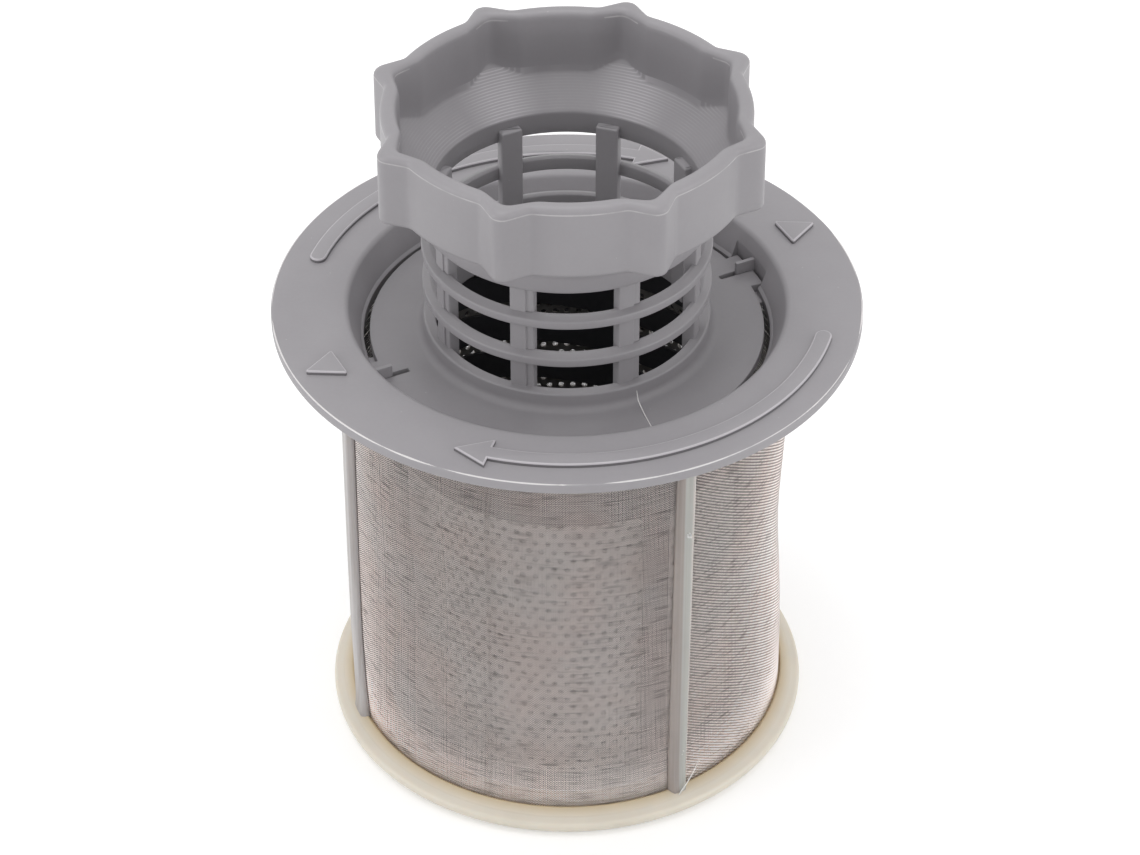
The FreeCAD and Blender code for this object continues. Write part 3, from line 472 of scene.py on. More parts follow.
def milky(name, colour, rough, inside=None, centre=None):
    """Milky natural plastic, clouded, with faint lengthwise bands or painted shade that makes its inside
    darker and yellower.

    Inside is the colour of the painted shade that darkens it towards the cloth, where the two meet. Centre is
    the azimuth of a rib, which gets painted shade on its warmer left flank, a painted sheen down its paler,
    greener middle and a painted highlight along its right edge.
    """
    material, tree, shader = nodes_of(name)
    where, apart = place(tree)
    clouds = noise(tree, where, 70.0, 4.0)
    base = ramp(tree, clouds, [(0.3, scaled(colour, 0.94)), (0.7, scaled(colour, 1.04))])
    if inside:
        # Painted shade, darker and yellower towards the cloth
        base = mix(tree, ranged(tree, axis_distance(tree, where), 43.3 * MM, 41.3 * MM), base, inside)
    else:
        long = vector_maths(tree, "MULTIPLY", where, (1000.0, 1000.0, 9.0))
        bands = [(0.3, (0.80, 0.77, 0.75)), (0.5, grey(1.0)), (0.68, (1.10, 1.13, 1.13))]
        base = tinted(tree, base, ramp(tree, noise(tree, long, 1.0, 2.0), bands))
    if centre is not None:
        # The rib's 5.3 degrees run from 0 to 1
        across = maths(tree, "SUBTRACT", azimuth_of(tree, apart), math.radians(centre))
        across = maths(tree, "MULTIPLY_ADD", across, 10.8, 0.5)
        # Painted shade on the rib's left flank, painted sheen down its middle and a painted highlight on its
        # right edge
        painted_light_strips = [(0.1, (0.92, 0.86, 0.84)), (0.36, (0.86, 0.80, 0.78)), (0.44, (1.08, 1.12, 1.1)),
                  (0.78, (1.12, 1.18, 1.16)), (0.86, (1.5, 1.5, 1.48))]
        base = tinted(tree, base, ramp(tree, across, painted_light_strips))
    shade(tree, shader, {"Base Color": base, "Roughness": rough, "Subsurface Weight": 0.35,
                         "Subsurface Radius": (0.002, 0.0016, 0.0012), "Subsurface Scale": 1.0})
    relief(tree, shader, noise(tree, where, 160.0), 0.3, 0.0002)
    return material


def facing_out(tree, where):
    """1 on faces that look away from the axis and 0 on those that look towards it."""
    normal = add(tree, "ShaderNodeNewGeometry").outputs["True Normal"]
    outwards = vector_maths(tree, "DOT_PRODUCT", normal, level_part(tree, where), output="Value")
    return ranged(tree, outwards, -0.012, 0.004)


def woven(name, colour, rough=0.38, metal=0.3):
    """Fine woven wire: painted highlights and shade along lines of crossings, short dark streaks, faint
    tints, painted light that makes it lighter low down, near the foot and on the right, painted glints along
    the foot and painted shade on its inner side.

    The lines slant both ways from one azimuth. On the right they slope less and lie further apart.
    """
    material, tree, shader = nodes_of(name)
    where, apart = place(tree)
    turn, z = azimuth_of(tree, apart), apart["Z"]
    across = times(tree, turn, CLOTH / PITCH)
    along = times(tree, z, 1.0 / (PITCH * MM))
    # In wires: where the slanting lines turn, and the slope and spacing of the gentle ones
    tip, slope, spacing = 28.0, 0.65, 2.7
    slant = maths(tree, "SUBTRACT", along, maths(tree, "ABSOLUTE", maths(tree, "ADD", across, tip)))
    slanting = maths(tree, "COSINE", times(tree, slant, math.pi))
    gentle = maths(tree, "MULTIPLY_ADD", across, slope, along)
    gentle = maths(tree, "COSINE", times(tree, gentle, 2 * math.pi / spacing))
    right = maths(tree, "LESS_THAN", angle_from(tree, turn, 62.0), math.radians(32.0))
    left = maths(tree, "SUBTRACT", 1.0, right)
    lines = maths(tree, "ADD", times(tree, slanting, left), times(tree, gentle, right))
    stretched = add(tree, "ShaderNodeCombineXYZ", X=times(tree, turn, 8.0), Z=times(tree, z, 2300.0))
    streaks = ramp(tree, noise(tree, stretched.outputs[0], 1.0, 2.0), [(0.34, grey(0.5)), (0.48, grey(1.0))])
    tints = [(0.34, (1.02, 0.985, 0.975)), (0.5, grey(1.0)), (0.66, (0.975, 1.0, 1.01))]
    base = tinted(tree, ramp(tree, noise(tree, where, 75.0, 2.0), tints), colour)
    base = tinted(tree, base, streaks)
    # Painted light: lighter low down, lighter still near the foot, and lighter on the right-hand panels
    low_down = ranged(tree, z, 60.0 * MM, 15.0 * MM)
    hem = ranged(tree, z, 16.0 * MM, 5.0 * MM)
    for fac, lift in ((low_down, 1.25), (hem, 1.5), (right, 1.12)):
        base = mix(tree, fac, base, tinted(tree, base, grey(lift)))
    # Painted highlights and shade along the lines of crossings
    painted_crossing_light = maths(tree, "MULTIPLY_ADD", lines, 0.5, 0.5)
    base = mix(tree, painted_crossing_light, tinted(tree, base, grey(0.35)), tinted(tree, base, grey(1.6)))
    # Painted glints on the wire ends along the foot
    foot = maths(tree, "COMPARE", z, 4.75 * MM, 0.3 * MM)
    base = mix(tree, times(tree, foot, 0.5), base, (0.85, 0.82, 0.76))
    # Painted shade on the faces that look towards the axis
    base = mix(tree, facing_out(tree, where), (0.05, 0.048, 0.047), base)
    shade(tree, shader, {"Base Color": base, "Metallic": metal, "Roughness": rough})
    relief(tree, shader, lines, 0.5, 0.00003)
    return material


def steel(name, colour, rough=0.45, metal=0.55):
    """Bright sheet with a faint drawn grain, warm and cool patches and painted shade on its inner side."""
    material, tree, shader = nodes_of(name)
    where, _ = place(tree)
    warm = tuple(c * f for c, f in zip(colour, (1.06, 1.02, 1.0)))
    base = ramp(tree, noise(tree, where, 45.0), [(0.3, scaled(colour, 0.93)), (0.7, warm)])
    # Painted shade on the faces that look towards the axis
    base = mix(tree, facing_out(tree, where), scaled(colour, 0.4), base)
    grain = noise(tree, where, 900.0, 2.0)
    shade(tree, shader, {"Base Color": base, "Metallic": metal,
                         "Roughness": maths(tree, "MULTIPLY_ADD", grain, 0.2, rough - 0.1)})
    relief(tree, shader, grain, 0.15, 0.00004)
    return material


GREY = (0.325, 0.312, 0.328)
flange_mat = plastic("moulded_grey_flange", GREY, rough=0.45)
# The marks' bevel gets painted shade at its foot and a painted highlight above
mark_mat = plastic("moulded_grey_marks", scaled(GREY, 1.02), bevel=(FLANGE_TOP + 0.5, MARK_TOP))
# The funnel's floor gets the tool's rings, with painted highlights and painted sheen
grip_mat = plastic("moulded_grey_strainer", scaled(GREY, 0.93), lines=[(130.0, 0.12, 30.0)], arcs=True)
cage_mat = plastic("moulded_grey_cage", scaled(GREY, 0.92))
flash_mat = plastic("pale_flash", (0.74, 0.72, 0.72), rough=0.35, specks=0.1)
# The base ring's inside colour is painted shade where it meets the cloth
ring_mat = milky("milky_base_ring", (0.74, 0.69, 0.595), rough=0.35, inside=(0.58, 0.47, 0.31))
rib_mat = milky("milky_rib", (0.40, 0.375, 0.37), rough=0.28)
# The front rib gets strips of painted shade, sheen and highlight across it
rib_front_mat = milky("milky_rib_front", (0.37, 0.35, 0.335), rough=0.24, centre=RIBS[0])
gate_mat = milky("milky_flash", (0.85, 0.83, 0.80), rough=0.25)
# The cloth's colour carries painted highlights, glints and shade
wire_mat = woven("woven_steel", (0.77, 0.69, 0.66))
# The sheet's inner side gets painted shade
sheet_mat = steel("perforated_steel", (0.76, 0.73, 0.705))
dark_mat = plastic("dark_basket", (0.05, 0.05, 0.055), rough=0.4, specks=0.15)


def finish_piece(obj, material, body, nodes=()):
    """Gives a piece its material and body, and hides the CAD nodes that it replaces."""
    obj.data.materials.append(material)
    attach(obj, body)
    if nodes:
        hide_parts(*nodes)


# The drum's flange

flange_profile = fillet([
    # The inner side, upwards
    (36.3, 81.9, 0.15), (36.3, 83.9, 0.12), (36.8, 84.4, 0.12), (37.3, 85.673, 0.0), (37.85, 87.07, 0.0),
    (37.95, 87.33, 0.0), (38.4, 88.47, 0.0), (39.0, FLANGE_TOP, 2.2),
    # The top outwards, and back under it to the skirt
    (40.9, FLANGE_TOP, 0.0), (46.0, FLANGE_TOP, 0.0), (51.0, FLANGE_TOP, 0.0), (52.5, FLANGE_TOP, 0.3),
    (52.5, 88.0, 0.45), (51.0, 88.0, 0.0), (42.96, 88.0, 0.2), (42.96, 81.4, 0.25), (41.56, 81.4, 0.15),
    (41.56, 88.0, 0.1), (40.1, 88.0, 0.1), (38.7, 84.4, 0.0), (38.7, 81.9, 0.2)])


def flange(pocket=8.3, seam=0.05, reach=37.9):
    """The flange, its funnel mouth opened out to the ears' pockets within pocket degrees of each key."""
    edges = [key + side * (pocket + step) for key in KEYS for side in (-1, 1) for step in (-seam, seam)]
    azimuths = np.unique(np.concatenate([np.arange(0.0, 360.0, 1.5), edges]) % 360.0)
    radius, height = flange_profile.T
    off = np.min([np.abs((azimuths - key + 180.0) % 360.0 - 180.0) for key in KEYS], axis=0)
    # The mouth's wall, without the rounded edge above it
    mouth = (radius <= 38.05) & (height < FLANGE_TOP - 1.0)
    opened = (off < pocket)[:, None] & mouth[None, :]
    radius = np.where(opened, np.maximum(radius, reach), radius)
    return swept("flange_ring_look", azimuths, radius, height, flat_from=35.0)


finish_piece(flange(), flange_mat, "drum", ["flange_ring"])

ledge_section = fillet([(34.2, 81.9, 0.15), (38.6, 81.9, 0.0), (38.6, 82.9, 0.0), (34.2, 82.9, 0.2)])
key_outline = fillet([(34.2, -0.4, 0.12), (38.25, -0.4, 0.0), (38.25, 0.4, 0.0), (34.2, 0.4, 0.12)], steps=3)
for number, centre in enumerate(KEYS):
    ledge = lathe(f"flange_ledge_{number}", ledge_section, centre - 13.0, centre + 9.0, step=1.0)
    finish_piece(ledge, flange_mat, "drum")
    key = prism(f"flange_key_{number}", placed(key_outline, centre), 82.0, 86.7, edge=0.14)
    finish_piece(key, flange_mat, "drum")


def arrow_outline(turn, tail=75.0, head=-16.2, point=-23.7):
    """Curved arrow seen from above: band, head and rounded end. Its tail, head and point are azimuths."""
    arc = np.linspace(tail, head, 93)
    inner = polar(44.9, arc + turn, 0.0)[:, :2]
    outer = polar(47.9, arc[::-1] + turn, 0.0)[:, :2]
    barbs = polar(np.array([42.85, 47.2, 49.85]), np.array([head, point, head]) + turn, 0.0)[:, :2]
    middle = polar(46.4, tail + turn, 0.0)[:2]
    end = [middle + turned(outer[-1] - middle, t) for t in np.linspace(0, math.pi, 13)[1:-1]]
    return np.concatenate([inner, barbs, outer, end])


pointer_outline = fillet([(43.9, -3.65, 0.35), (50.5, 0.0, 0.35), (43.9, 3.65, 0.35)], steps=4)
for number, turn in enumerate((0.0, 180.0)):
    pointer = placed(pointer_outline, INDEX + turn)
    for name, outline in (("arrow", arrow_outline(turn)), ("pointer", pointer)):
        mark = prism(f"flange_{name}_{number}", outline, MARK_FOOT, MARK_TOP, edge=0.3)
        finish_piece(mark, mark_mat, "drum")


def flange_flash(radius=52.28, z=FLANGE_TOP - 0.08, sides=6):
    """Moulding flash round the flange's upper edge, uneven, with a few nicks that stand out."""
    parts = []
    nicks = ((-64.3, 0.5, 0.16), (-44.5, 0.8, 0.17), (-26.3, 0.6, 0.15), (-0.8, 0.8, 0.16), (21.0, 0.4, 0.12),
             (58.0, 0.6, 0.13), (141.0, 0.5, 0.14), (222.0, 0.7, 0.15))
    for centre, reach, size in nicks:
        sweep = np.linspace(centre - reach, centre + reach, 9)
        path = polar(radius + 0.02 + 0.04 * rng.standard_normal(9), sweep,
                     z + 0.03 + 0.04 * rng.standard_normal(9))
        parts.append(tube(path, size * np.sin(np.linspace(0.15, math.pi - 0.15, 9)) ** 0.6 * 0.8, sides))
    sweep = np.linspace(0.0, 360.0, 480, endpoint=False)
    uneven = rng.standard_normal(60)
    thick = 0.115 + 0.05 * np.interp(sweep, np.arange(0, 361, 6), np.append(uneven, uneven[0]))
    thick = np.clip(thick, 0.05, 0.2)[:, None]
    rim, out = polar(radius, sweep, z), outward(sweep)
    spin = np.linspace(0, 2 * math.pi, sides, endpoint=False)
    ring = np.stack([rim + thick * (math.cos(t) * out - math.sin(t) * UP) for t in spin], axis=1)
    parts.append((ring, grid(len(sweep), sides, True, True), None))
    return build("flange_flash_nicks", *merge(parts))


finish_piece(flange_flash(), flash_mat, "drum")


# The woven wall


def cloth_radius(azimuth, z):
    """Middle radius of the cloth: an arc from rib to rib, drawn in between them."""
    held = np.interp(z, [2.15, 85.4], [40.65, 39.85])
    middle_height, reach = 43.775, 16.65
    sag = 1.15 * np.exp(-((z - middle_height) / reach) ** 2)
    azimuth = np.asarray(azimuth, dtype=float) % 360.0
    ribs = np.array([RIBS[2] - 360.0, *RIBS, RIBS[0] + 360.0])
    number = np.searchsorted(ribs, azimuth, side="right") - 1
    half = (ribs[number + 1] - ribs[number]) / 2
    middle = ribs[number] + half
    bow = held - sag - held * np.cos(np.radians(half))
    chord = held * np.sin(np.radians(half))
    arc = (chord ** 2 + bow ** 2) / (2.0 * bow)
    shift = arc - (held - sag)
    off = np.radians(azimuth - middle)
    return np.sqrt(arc ** 2 - (shift * np.sin(off)) ** 2) - shift * np.cos(off)


def strands(centres, across, upward, thick):
    """Three-sided wires along rows of centres, one row for each wire, which may have its own thickness."""
    spin = np.radians([0.0, 120.0, 240.0])
    thick = np.broadcast_to(thick, centres.shape[:1])[:, None, None]
    ring = np.stack([centres + thick * (math.cos(t) * across + math.sin(t) * upward) for t in spin], axis=2)
    wires, stations = centres.shape[:2]
    first = (np.arange(wires) * stations * 3)[:, None, None]
    sides = grid(stations, 3, False, True)[None] + first
    last = 3 * stations - 3
    ends = np.array([[0, 1, 2], [last, last + 2, last + 1]])[None] + first
    return ring.reshape(-1, 3), sides.reshape(-1, 4), ends.reshape(-1, 3)


def cloth(low=2.2, high=85.3, back=(94.0, 285.0)):
    """Fine woven cloth, panel by panel: upright wires over level ones, at the real cloth's spacing.

    The level wires are stouter at the foot and round the back, where the cloth lies tighter.
    """
    around = 6 * int(round(2 * math.pi * CLOTH / PITCH / 6))
    levels = np.linspace(low, high, int(round((high - low) / PITCH)) + 1)
    levels[1:-1] += 0.12 * PITCH * rng.standard_normal(len(levels) - 2)
    azimuths = (np.arange(around) + 0.5 + 0.1 * rng.standard_normal(around)) * 360.0 / around
    stations = np.linspace(low, high, 17)
    apart = 0.9 * FINE_WIRE
    thick_low = np.interp(levels, [5.0, 16.0], [STOUT_WIRE, FINE_WIRE])
    seams = sorted(seam % 360.0 for seam in RIBS + (94.5, 223.5, 339.0))
    for start, end in zip(seams, seams[1:] + [seams[0] + 360.0]):
        own = azimuths[((azimuths - start) % 360.0) < end - start]
        azimuth, z = np.meshgrid(own, stations, indexing="ij")
        centres = polar(cloth_radius(azimuth, z) + apart, azimuth, z)
        uprights = strands(centres, outward(azimuth), sideways(azimuth), FINE_WIRE)
        sweep = np.linspace(start, end, int(round((end - start) / 2.5)) + 1)
        z, azimuth = np.meshgrid(levels, sweep, indexing="ij")
        centres = polar(cloth_radius(azimuth, z) - apart, azimuth, z)
        behind = back[0] < start < back[1]
        level = strands(centres, -outward(azimuth), UP, STOUT_WIRE if behind else thick_low)
        yield merge([uprights, level])


for number, parts in enumerate(cloth()):
    panel = build(f"woven_panel_{number}", *parts, flat_from=180.0)
    finish_piece(panel, wire_mat, "drum", ["mesh_wall"])


# The milky frame: base ring, ribs, hidden top band

ring_profile = fillet([(34.2, 0.0, 0.2), (39.0, 0.0, 0.0), (43.3, 0.0, 1.0), (44.9, 1.55, 1.3),
                       (44.75, 2.95, 0.9), (42.9, 3.55, 1.5), (41.45, 4.3, 0.35), (41.15, 4.3, 0.05),
                       (40.85, 3.8, 0.0), (40.3, 3.8, 0.0), (40.3, 1.6, 0.0), (34.2, 1.6, 0.2)], steps=6)
finish_piece(lathe("base_ring_look", ring_profile), ring_mat, "drum", ["drum_frame"])

band_profile = [(40.45, 81.8), (41.42, 81.8), (41.42, 85.4), (40.4, 85.4)]
finish_piece(lathe("top_band", band_profile, step=2.0), ring_mat, "drum")


def rib(name, places, half):
    """A rib: chamfered bar that follows the cloth down into the base ring.

    Places are (height, azimuth) of its middle line, upwards, and half is its half width in degrees.
    """
    section = [(-1.0, 0.0), (-1.0, 0.25), (-0.93, 0.5), (-0.66, 0.88), (-0.58, 0.97), (-0.45, 1.0),
               (0.0, 1.03), (0.55, 1.0), (0.7, 0.95), (0.92, 0.6), (1.0, 0.3), (1.0, 0.0)]
    sides, depths = np.array(section).T
    levels = np.concatenate([[2.4, 2.9, 3.4, 4.0, 4.8, 5.8, 7.0, 9.0], np.linspace(12.0, 85.4, 38)])
    rings = []
    for z in levels:
        centre = np.interp(z, *zip(*places))
        inner = max(float(cloth_radius(centre, z)) + 0.28, 40.3)
        outer = np.interp(z, [2.4, 4.0, 5.0, 7.5, 12.0, 50.0, 81.0, 85.4],
                          [42.5, 42.35, 42.15, 41.95, 41.8, 41.62, 41.48, 41.4])
        wide = half * np.interp(z, [2.4, 4.0, 7.0, 30.0, 86.0], [0.95, 0.97, 0.99, 1.0, 1.0])
        rings.append(polar(inner + (outer - inner) * depths, centre + wide * sides, z))
    n = len(section)
    ends = caps(section, (len(levels) - 1) * n)
    return build(name, rings, grid(len(levels), n, False, True), ends, flat_from=60.0)


leaning = [(3.0, 290.5), (12.0, 287.8), (22.0, 286.0), (40.0, 284.9), (85.4, 285.4)]
for name, places, half, material in (("rib_front", [(2.4, 29.5), (85.4, 30.6)], 2.65, rib_front_mat),
                                     ("rib_back", [(2.4, RIBS[1]), (85.4, RIBS[1])], 2.6, rib_mat),
                                     ("rib_left", leaning, 4.3, rib_mat)):
    finish_piece(rib(name, places, half), material, "drum")


def gate_mark(name, azimuth, z, size, seed):
    """A small torn gate mark: an uneven little mound with a dip."""
    local = np.random.default_rng(seed)
    heights = [0.12, 0.26, 0.4, 0.3, 0.12, -0.1]
    rings, sides = len(heights), 14
    out, side = outward(azimuth), sideways(azimuth)
    centre = polar(41.38, azimuth, z)
    verts = [centre + out * 0.2]
    for k in range(rings):
        r = size * (k + 1) / rings
        for s in range(sides):
            t = 2 * math.pi * s / sides
            wobble = 1.0 + 0.16 * local.standard_normal()
            lift = heights[k] * (1.0 + 0.45 * local.standard_normal() * (k < rings - 1))
            sideward, upward = r * math.cos(t) * 0.62 * wobble, r * math.sin(t) * wobble
            verts.append(centre + side * sideward + UP * upward + out * lift)
    verts.append(centre - out * 0.3)
    quads, tris = [], []
    last = len(verts) - 1
    for s in range(sides):
        n = (s + 1) % sides
        tris.append([0, 1 + s, 1 + n])
        for k in range(rings - 1):
            low, high = 1 + k * sides, 1 + (k + 1) * sides
            quads.append([low + s, high + s, high + n, low + n])
        tris.append([last - sides + s, last, last - sides + n])
    return build(name, verts, quads, tris, flat_from=80.0)


for name, place_of, size, seed in (("upper", (30.8, 65.0), 0.85, 3), ("lower", (30.4, 13.2), 0.8, 5)):
    finish_piece(gate_mark(f"rib_gate_{name}", *place_of, size, seed), gate_mat, "drum")

# A fine whisker of moulding flash at the rib's foot
share = np.linspace(0.0, 1.0, 14)
foot, tip = np.array([20.6, -37.35, 3.45]), np.array([24.31, -34.74, 9.97])
path = foot * (1 - share)[:, None] + tip * share[:, None]
path[:, 0] += 0.25 * np.sin(math.pi * share)
whisker = build("rib_whisker", *tube(path, np.interp(share, [0, 0.6, 0.93, 1.0], [0.13, 0.11, 0.1, 0.17])))
finish_piece(whisker, gate_mat, "drum")


# The strainer


def lobed(radius, reach, foot_half, tip_half, soften):
    """Radius at each azimuth of a round outline with lobes, its corners softened."""
    count, kept = 1440, 3
    azimuths = np.arange(count) * 360.0 / count
    off = np.radians((azimuths - INDEX + 180.0 / LOBES) % (360.0 / LOBES) - 180.0 / LOBES)
    foot_x = math.sqrt(radius ** 2 - foot_half ** 2)
    slope = (reach - foot_x) / (foot_half - tip_half)
    flank = (foot_x + foot_half * slope) / (np.cos(off) + slope * np.abs(np.sin(off)))
    lobe = np.minimum(flank, reach / np.cos(off))
    lobe_half = math.radians(15.0)
    lobe = np.where(np.abs(off) < lobe_half, lobe, 0.0)
    values = np.maximum(radius, lobe)
    width = int(round(math.degrees(soften / radius) / (360.0 / count)))
    kernel = np.hanning(2 * width + 3)[1:-1]
    kernel /= kernel.sum()
    pad = np.concatenate([values[-width:], values, values[:width]])
    return azimuths[::kept], np.convolve(pad, kernel, mode="valid")[::kept]


def floor_height(radius):
    """Height of the funnel's sloping floor."""
    return 114.0 + 0.88 * (radius - BORE)


def grip_section(outer, inner):
    """Outline of the grip, its funnel and the throat at one azimuth."""
    middle, half = (outer + inner) / 2, (outer - inner) / 2
    section = [(31.0, 117.5), (outer - 0.5, 117.5), (outer - 0.15, 117.6), (outer - 0.02, 117.85),
               (outer, 118.3), (outer - 0.02, 121.0), (outer - 0.04, 125.0), (outer - 0.06, 129.0),
               (outer - 0.07, 129.8)]
    for t in np.linspace(0.06, math.pi - 0.06, 13):
        c, s = math.cos(t), math.sin(t)
        section.append((middle + (half - 0.07) * math.copysign(abs(c) ** 0.85, c), 129.88 + 1.42 * s ** 0.8))
    floor = floor_height(inner)
    section += [(inner, 129.7), (inner + 0.02, 126.0), (inner + 0.03, floor + 2.5),
                (inner + 0.03, floor + 0.45), (inner - 0.06, floor + 0.12), (inner - 0.35, floor - 0.26)]
    for share in (0.9, 0.72, 0.5, 0.3, 0.12):
        radius = FUNNEL + (inner - 0.35 - FUNNEL) * share
        section.append((radius, floor_height(radius)))
    return section + [(FUNNEL, 114.32), (23.68, 114.1), (23.54, 113.85), (BORE, 113.5), (BORE, 111.5),
                      (BORE, 109.9), (23.6, 109.6), (23.8, 109.5), (25.2, 109.5), (25.48, 109.62),
                      (CAGE, 109.95), (CAGE, 112.0), (25.62, 113.4), (25.95, 113.95), (27.5, 115.0),
                      (30.0, 116.8)]


azimuths, outer_edge = lobed(32.0, 35.25, 4.4, 0.9, 1.0)
_, inner_edge = lobed(29.0, 31.3, 5.1, 0.6, 1.1)
sections = np.array([grip_section(outer, inner) for outer, inner in zip(outer_edge, inner_edge)])
grip = swept("grip_and_throat", azimuths, sections[:, :, 0], sections[:, :, 1], flat_from=55.0)
finish_piece(grip, grip_mat, "strainer", ["strainer_top"])

for number, z in enumerate((102.8, 94.8)):
    profile = fillet([(BORE, z - 1.3, 0.3), (24.3, z - 1.3, 0.5), (CAGE, z - 0.78, 0.4),
                      (CAGE, z + 0.78, 0.4), (24.3, z + 1.3, 0.5), (BORE, z + 1.3, 0.3)], steps=4)
    hoop = lathe(f"cage_hoop_{number}", profile, step=1.25)
    finish_piece(hoop, cage_mat, "strainer")

collar_profile = fillet([(BORE, 88.1, 0.35), (CAGE, 88.1, 0.45), (CAGE, DISC_TOP, 3.1), (28.9, DISC_TOP, 0.0),
                         (HUB, DISC_TOP, 0.0), (HUB, 79.5, 0.2), (29.3, 79.5, 0.2), (29.3, DISC_LOW, 0.2),
                         (BORE, DISC_LOW, 0.2)], steps=7)
finish_piece(lathe("disc_collar", collar_profile), cage_mat, "strainer")


def disc_outline(radius=35.2, ear=37.5, ear_half=7.55, slot_half=0.92):
    """Disc with two ears, each with the slot that fits over a key. The halves are in degrees."""
    slot = [(37.4, -0.55), (31.1, -0.55), (30.95, -0.3), (30.95, 0.3), (31.1, 0.55), (37.4, 0.55)]
    rim_half = ear_half + 0.15
    points = []
    for centre in (INDEX - 180.0, INDEX):
        rim = np.linspace(centre + rim_half - 180.0, centre - rim_half, 150)
        left = np.linspace(centre - ear_half, centre - slot_half, 8)
        right = np.linspace(centre + slot_half, centre + ear_half, 8)
        points += [polar(radius, rim, 0.0)[:, :2], polar(ear, left, 0.0)[:, :2], placed(slot, centre),
                   polar(ear, right, 0.0)[:, :2]]
    return np.concatenate(points)


hub = polar(HUB, np.linspace(0, 360, 180, endpoint=False), 0.0)[:, :2]
disc = prism("disc_plate", disc_outline(), DISC_LOW, DISC_TOP, edge=0.16, hole=hub)
finish_piece(disc, cage_mat, "strainer")

post_section = fillet([(22.0, -2.1, 0.3), (24.3, -2.1, 0.25), (24.3, 0.75, 0.12), (23.95, 0.8, 0.12),
                       (23.95, 2.1, 0.25), (22.0, 2.1, 0.3)], steps=3)
posts = [prism_parts(placed(post_section, INDEX + number * 360.0 / LOBES), DISC_LOW + 0.1, 112.1, edge=0.45)
         for number in range(LOBES)]
posts = build("cage_posts", *merge(posts), flat_from=35.0)
finish_piece(posts, cage_mat, "strainer")

# A fine weld line across the disc, from the foot of one post to the edge
line = [[12.05, -23.4, 87.3], [12.3, -24.2, 85.8], [12.9, -25.3, 84.95], [13.5, -26.9, 84.56],
        [14.2, -28.9, DISC_TOP], [14.75, -30.6, DISC_TOP], [15.15, -31.6, DISC_TOP]]
weld = build("disc_weld_line", *tube(line, [0.05, 0.09, 0.1, 0.1, 0.09, 0.08, 0.04]))
finish_piece(weld, flash_mat, "strainer")


# The perforated sleeve


def sleeve(low=3.0, high=79.3, outer_r=31.0, thick=0.5, hole=0.58, around=86, up=39, sides=8):
    """Rolled sheet with staggered holes, built cell by cell as (way round, height, radius) and then rolled.

    A cell has six corners on each side of the sheet, which it shares with its neighbours, and a hole with
    eight. The joins say which of the hole's corners each of the six is joined to.
    """
    pitch = 2 * math.pi * outer_r / around
    tall = (high - low) / up
    spin = np.radians(np.arange(sides) * 45.0 + 225.0)
    corners = [(-0.5, 0), (0.0, 0), (0.5, 0), (0.5, 1), (0.0, 1), (-0.5, 1)]
    joins = [0, 1, 2, 4, 5, 6]
    verts, tris, quads = [], [], []
    index = {}

    def shared(across, row, side):
        key = (int(round(across * 2)) % (2 * around), row, side)
        if key not in index:
            index[key] = len(verts)
            verts.append((across * pitch, low + row * tall, outer_r - side * thick))
        return index[key]

    def face(rim, ring):
        """Triangles between a cell's corners and its hole, on one side of the sheet."""
        faces = []
        for i in range(6):
            j = (i + 1) % 6
            last = joins[j] if joins[j] > joins[i] else joins[j] + sides
            span = [ring[h % sides] for h in range(joins[i], last + 1)]
            split = len(span) // 2
            faces += [(rim[i], span[k + 1], span[k]) for k in range(split)]
            faces.append((rim[i], rim[j], span[split]))
            faces += [(rim[j], span[k + 1], span[k]) for k in range(split, len(span) - 1)]
        return faces

    for row in range(up):
        for column in range(around):
            middle = column + 0.5 * (row % 2)
            rims, rings = [], []
            for side in (0, 1):
                rims.append([shared(middle + x, row + y, side) for x, y in corners])
                first = len(verts)
                verts += [(middle * pitch + hole * math.cos(t), low + (row + 0.5) * tall + hole * math.sin(t),
                           outer_r - side * thick) for t in spin]
                rings.append(list(range(first, first + sides)))
            tris += face(rims[0], rings[0]) + [f[::-1] for f in face(rims[1], rings[1])]
            for i in range(sides):
                j = (i + 1) % sides
                quads.append((rings[0][i], rings[0][j], rings[1][j], rings[1][i]))
    for row, flip in ((0, False), (up, True)):
        for k in range(2 * around):
            here, there = k / 2.0, k / 2.0 + 0.5
            edge = (shared(here, row, 0), shared(here, row, 1), shared(there, row, 1), shared(there, row, 0))
            quads.append(edge[::-1] if flip else edge)
    across, height, radius = np.array(verts).T
    rolled = np.column_stack([radius * np.cos(across / outer_r), radius * np.sin(across / outer_r), height])
    return build("perforated_sheet", rolled, quads, tris, flat_from=50.0)


finish_piece(sleeve(), sheet_mat, "strainer", ["perforated_sleeve"])


def lining(low=3.2, high=79.0, inner=29.7, outer=30.25, span=8.8, slit=2.5, highest=64.9, least=0.05):
    """The basket's dark inner wall: slanting bars with narrow slits between them.

    Highest is the height of a slit where the slant is 0. A bar that the ends cut off keeps the least height.
    """
    azimuths = np.arange(0.0, 360.0, 4.0)
    rise = np.interp(azimuths, [0.0, 151.0, 180.0, 220.0, 360.0], [-2.3, -2.3, 0.0, 4.6, 4.6])
    first = highest - span * math.ceil((highest + rise.max() - low) / span)
    parts = []
    for number in range(int((high - first) / span) + 2):
        below = np.clip(first + number * span + slit / 2 + rise, low, high)
        above = np.clip(first + (number + 1) * span - slit / 2 + rise, low, high)
        keep = above - below > least
        above = np.where(keep, above, np.minimum(below + least, high))
        below = np.where(keep, below, above - least)
        ring = np.stack([polar(outer, azimuths, below), polar(outer, azimuths, above),
                         polar(inner, azimuths, above), polar(inner, azimuths, below)], axis=1)
        parts.append((ring, grid(len(azimuths), 4, True, True), None))
    return build("basket_lining", *merge(parts))


finish_piece(lining(), dark_mat, "strainer")

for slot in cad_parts["basket_frame"].material_slots:
    slot.material = dark_mat


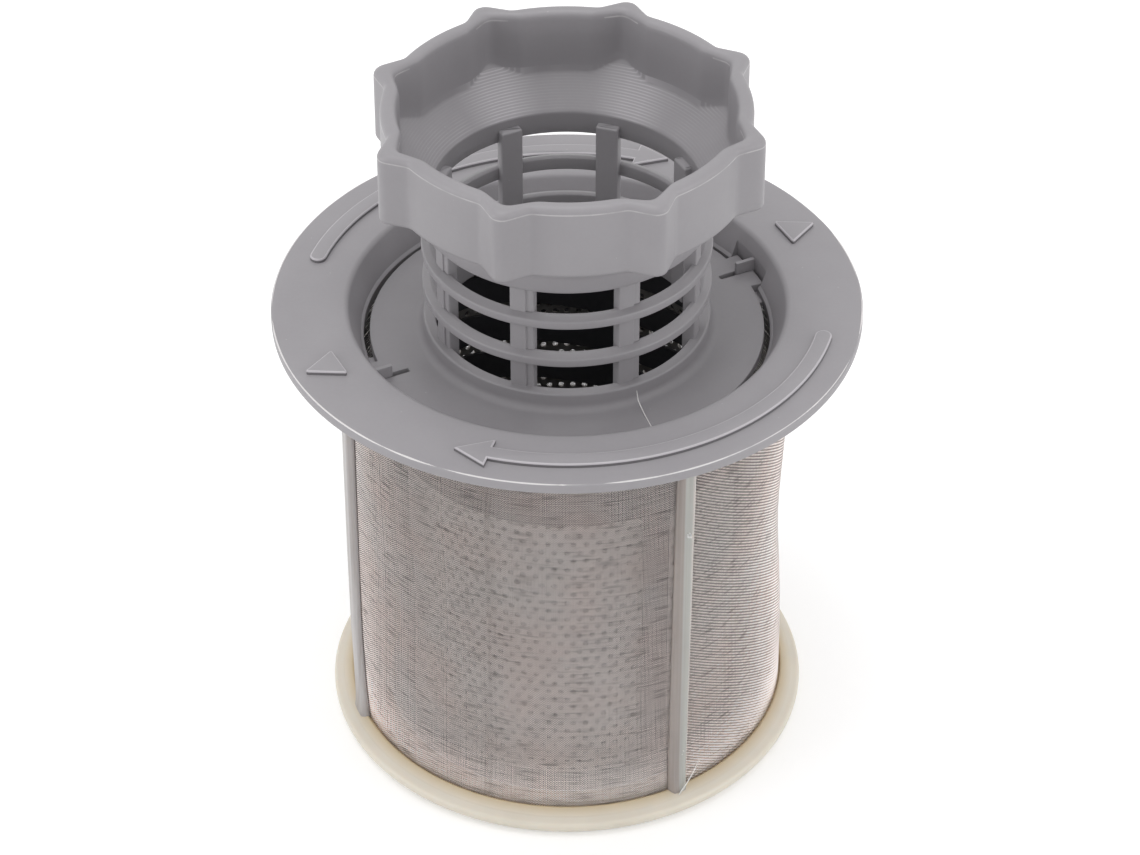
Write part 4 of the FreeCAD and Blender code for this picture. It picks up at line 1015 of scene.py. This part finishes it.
# Floor, light and camera, in metres


def background_rays(tree):
    """1 for the rays that show a background: the camera's, and those of gloss and clear things."""
    rays = add(tree, "ShaderNodeLightPath").outputs
    through = maths(tree, "MAXIMUM", rays["Is Glossy Ray"], rays["Is Transmission Ray"])
    return maths(tree, "MAXIMUM", rays["Is Camera Ray"], through)


def stage_material(name, colour, lift):
    """A pale surface that the camera, gloss and clear things see lifted towards white."""
    material, tree, shader = nodes_of(name)
    shade(tree, shader, {"Base Color": colour, "Roughness": 0.9, "Specular IOR Level": 0.1})
    strength = times(tree, background_rays(tree), lift)
    glow = add(tree, "ShaderNodeEmission", Color=grey(1.0), Strength=strength)
    both = add(tree, "ShaderNodeAddShader")
    tree.links.new(shader.outputs[0], both.inputs[0])
    tree.links.new(glow.outputs[0], both.inputs[1])
    tree.links.new(both.outputs[0], tree.nodes["Material Output"].inputs["Surface"])
    return material


floor_mesh = bpy.data.meshes.new("floor")
floor_mesh.from_pydata([(-6, -6, 0), (6, -6, 0), (6, 6, 0), (-6, 6, 0)], [], [(0, 1, 2, 3)])
floor_obj = bpy.data.objects.new("floor", floor_mesh)
bpy.context.scene.collection.objects.link(floor_obj)
floor_obj.location.z = -0.0001
floor_mesh.materials.append(stage_material("pale_floor", grey(0.86), 0.3))


def studio_world(level=0.38, rise=0.55):
    """A white background that lights the object more softly, and more from above."""
    world = bpy.data.worlds.new("studio")
    bpy.context.scene.world = world
    world.use_nodes = True
    tree = world.node_tree
    towards = add(tree, "ShaderNodeTexCoord").outputs["Generated"]
    upward = add(tree, "ShaderNodeSeparateXYZ", Vector=towards).outputs["Z"]
    sky = maths(tree, "MULTIPLY_ADD", maths(tree, "MAXIMUM", upward, 0.0), rise, level)
    strength = maths(tree, "MULTIPLY_ADD", background_rays(tree), maths(tree, "SUBTRACT", 1.0, sky), sky)
    shade(tree, tree.nodes["Background"], {"Color": grey(1.0), "Strength": strength})


studio_world()


def lamp(name, where, size, power, target=(0.0, 0.0, 0.06)):
    """A round area lamp aimed at the target, its power in watts."""
    data = bpy.data.lights.new(name, "AREA")
    data.shape = "DISK"
    data.size = size
    data.energy = power
    obj = bpy.data.objects.new(name, data)
    bpy.context.scene.collection.objects.link(obj)
    obj.location = where
    obj.rotation_euler = (Vector(target) - Vector(where)).to_track_quat("-Z", "Y").to_euler()


lamp("left", (-1.15, -0.5, 0.32), 0.9, 4.7)
lamp("right", (1.15, -0.5, 0.32), 0.9, 4.5)
lamp("top", (-0.1, 0.05, 1.45), 1.0, 5.0)

# The camera that was fitted to the photo's outlines, which lie 3 pixels off its middle
PHOTO_WIDTH = 1140.0
camera_data = bpy.data.cameras.new("camera")
camera_data.sensor_width = 36.0
camera_data.lens = 108.75
camera_data.shift_x = 3.0 / PHOTO_WIDTH
camera_data.clip_start = 0.01
camera = bpy.data.objects.new("camera", camera_data)
bpy.context.scene.collection.objects.link(camera)
camera.location = (0.0, -0.49323, 0.45248)
camera.rotation_euler = (math.radians(90.0 - 38.469), 0.0, 0.0)
bpy.context.scene.camera = camera
bpy.context.scene.view_settings.view_transform = "Standard"
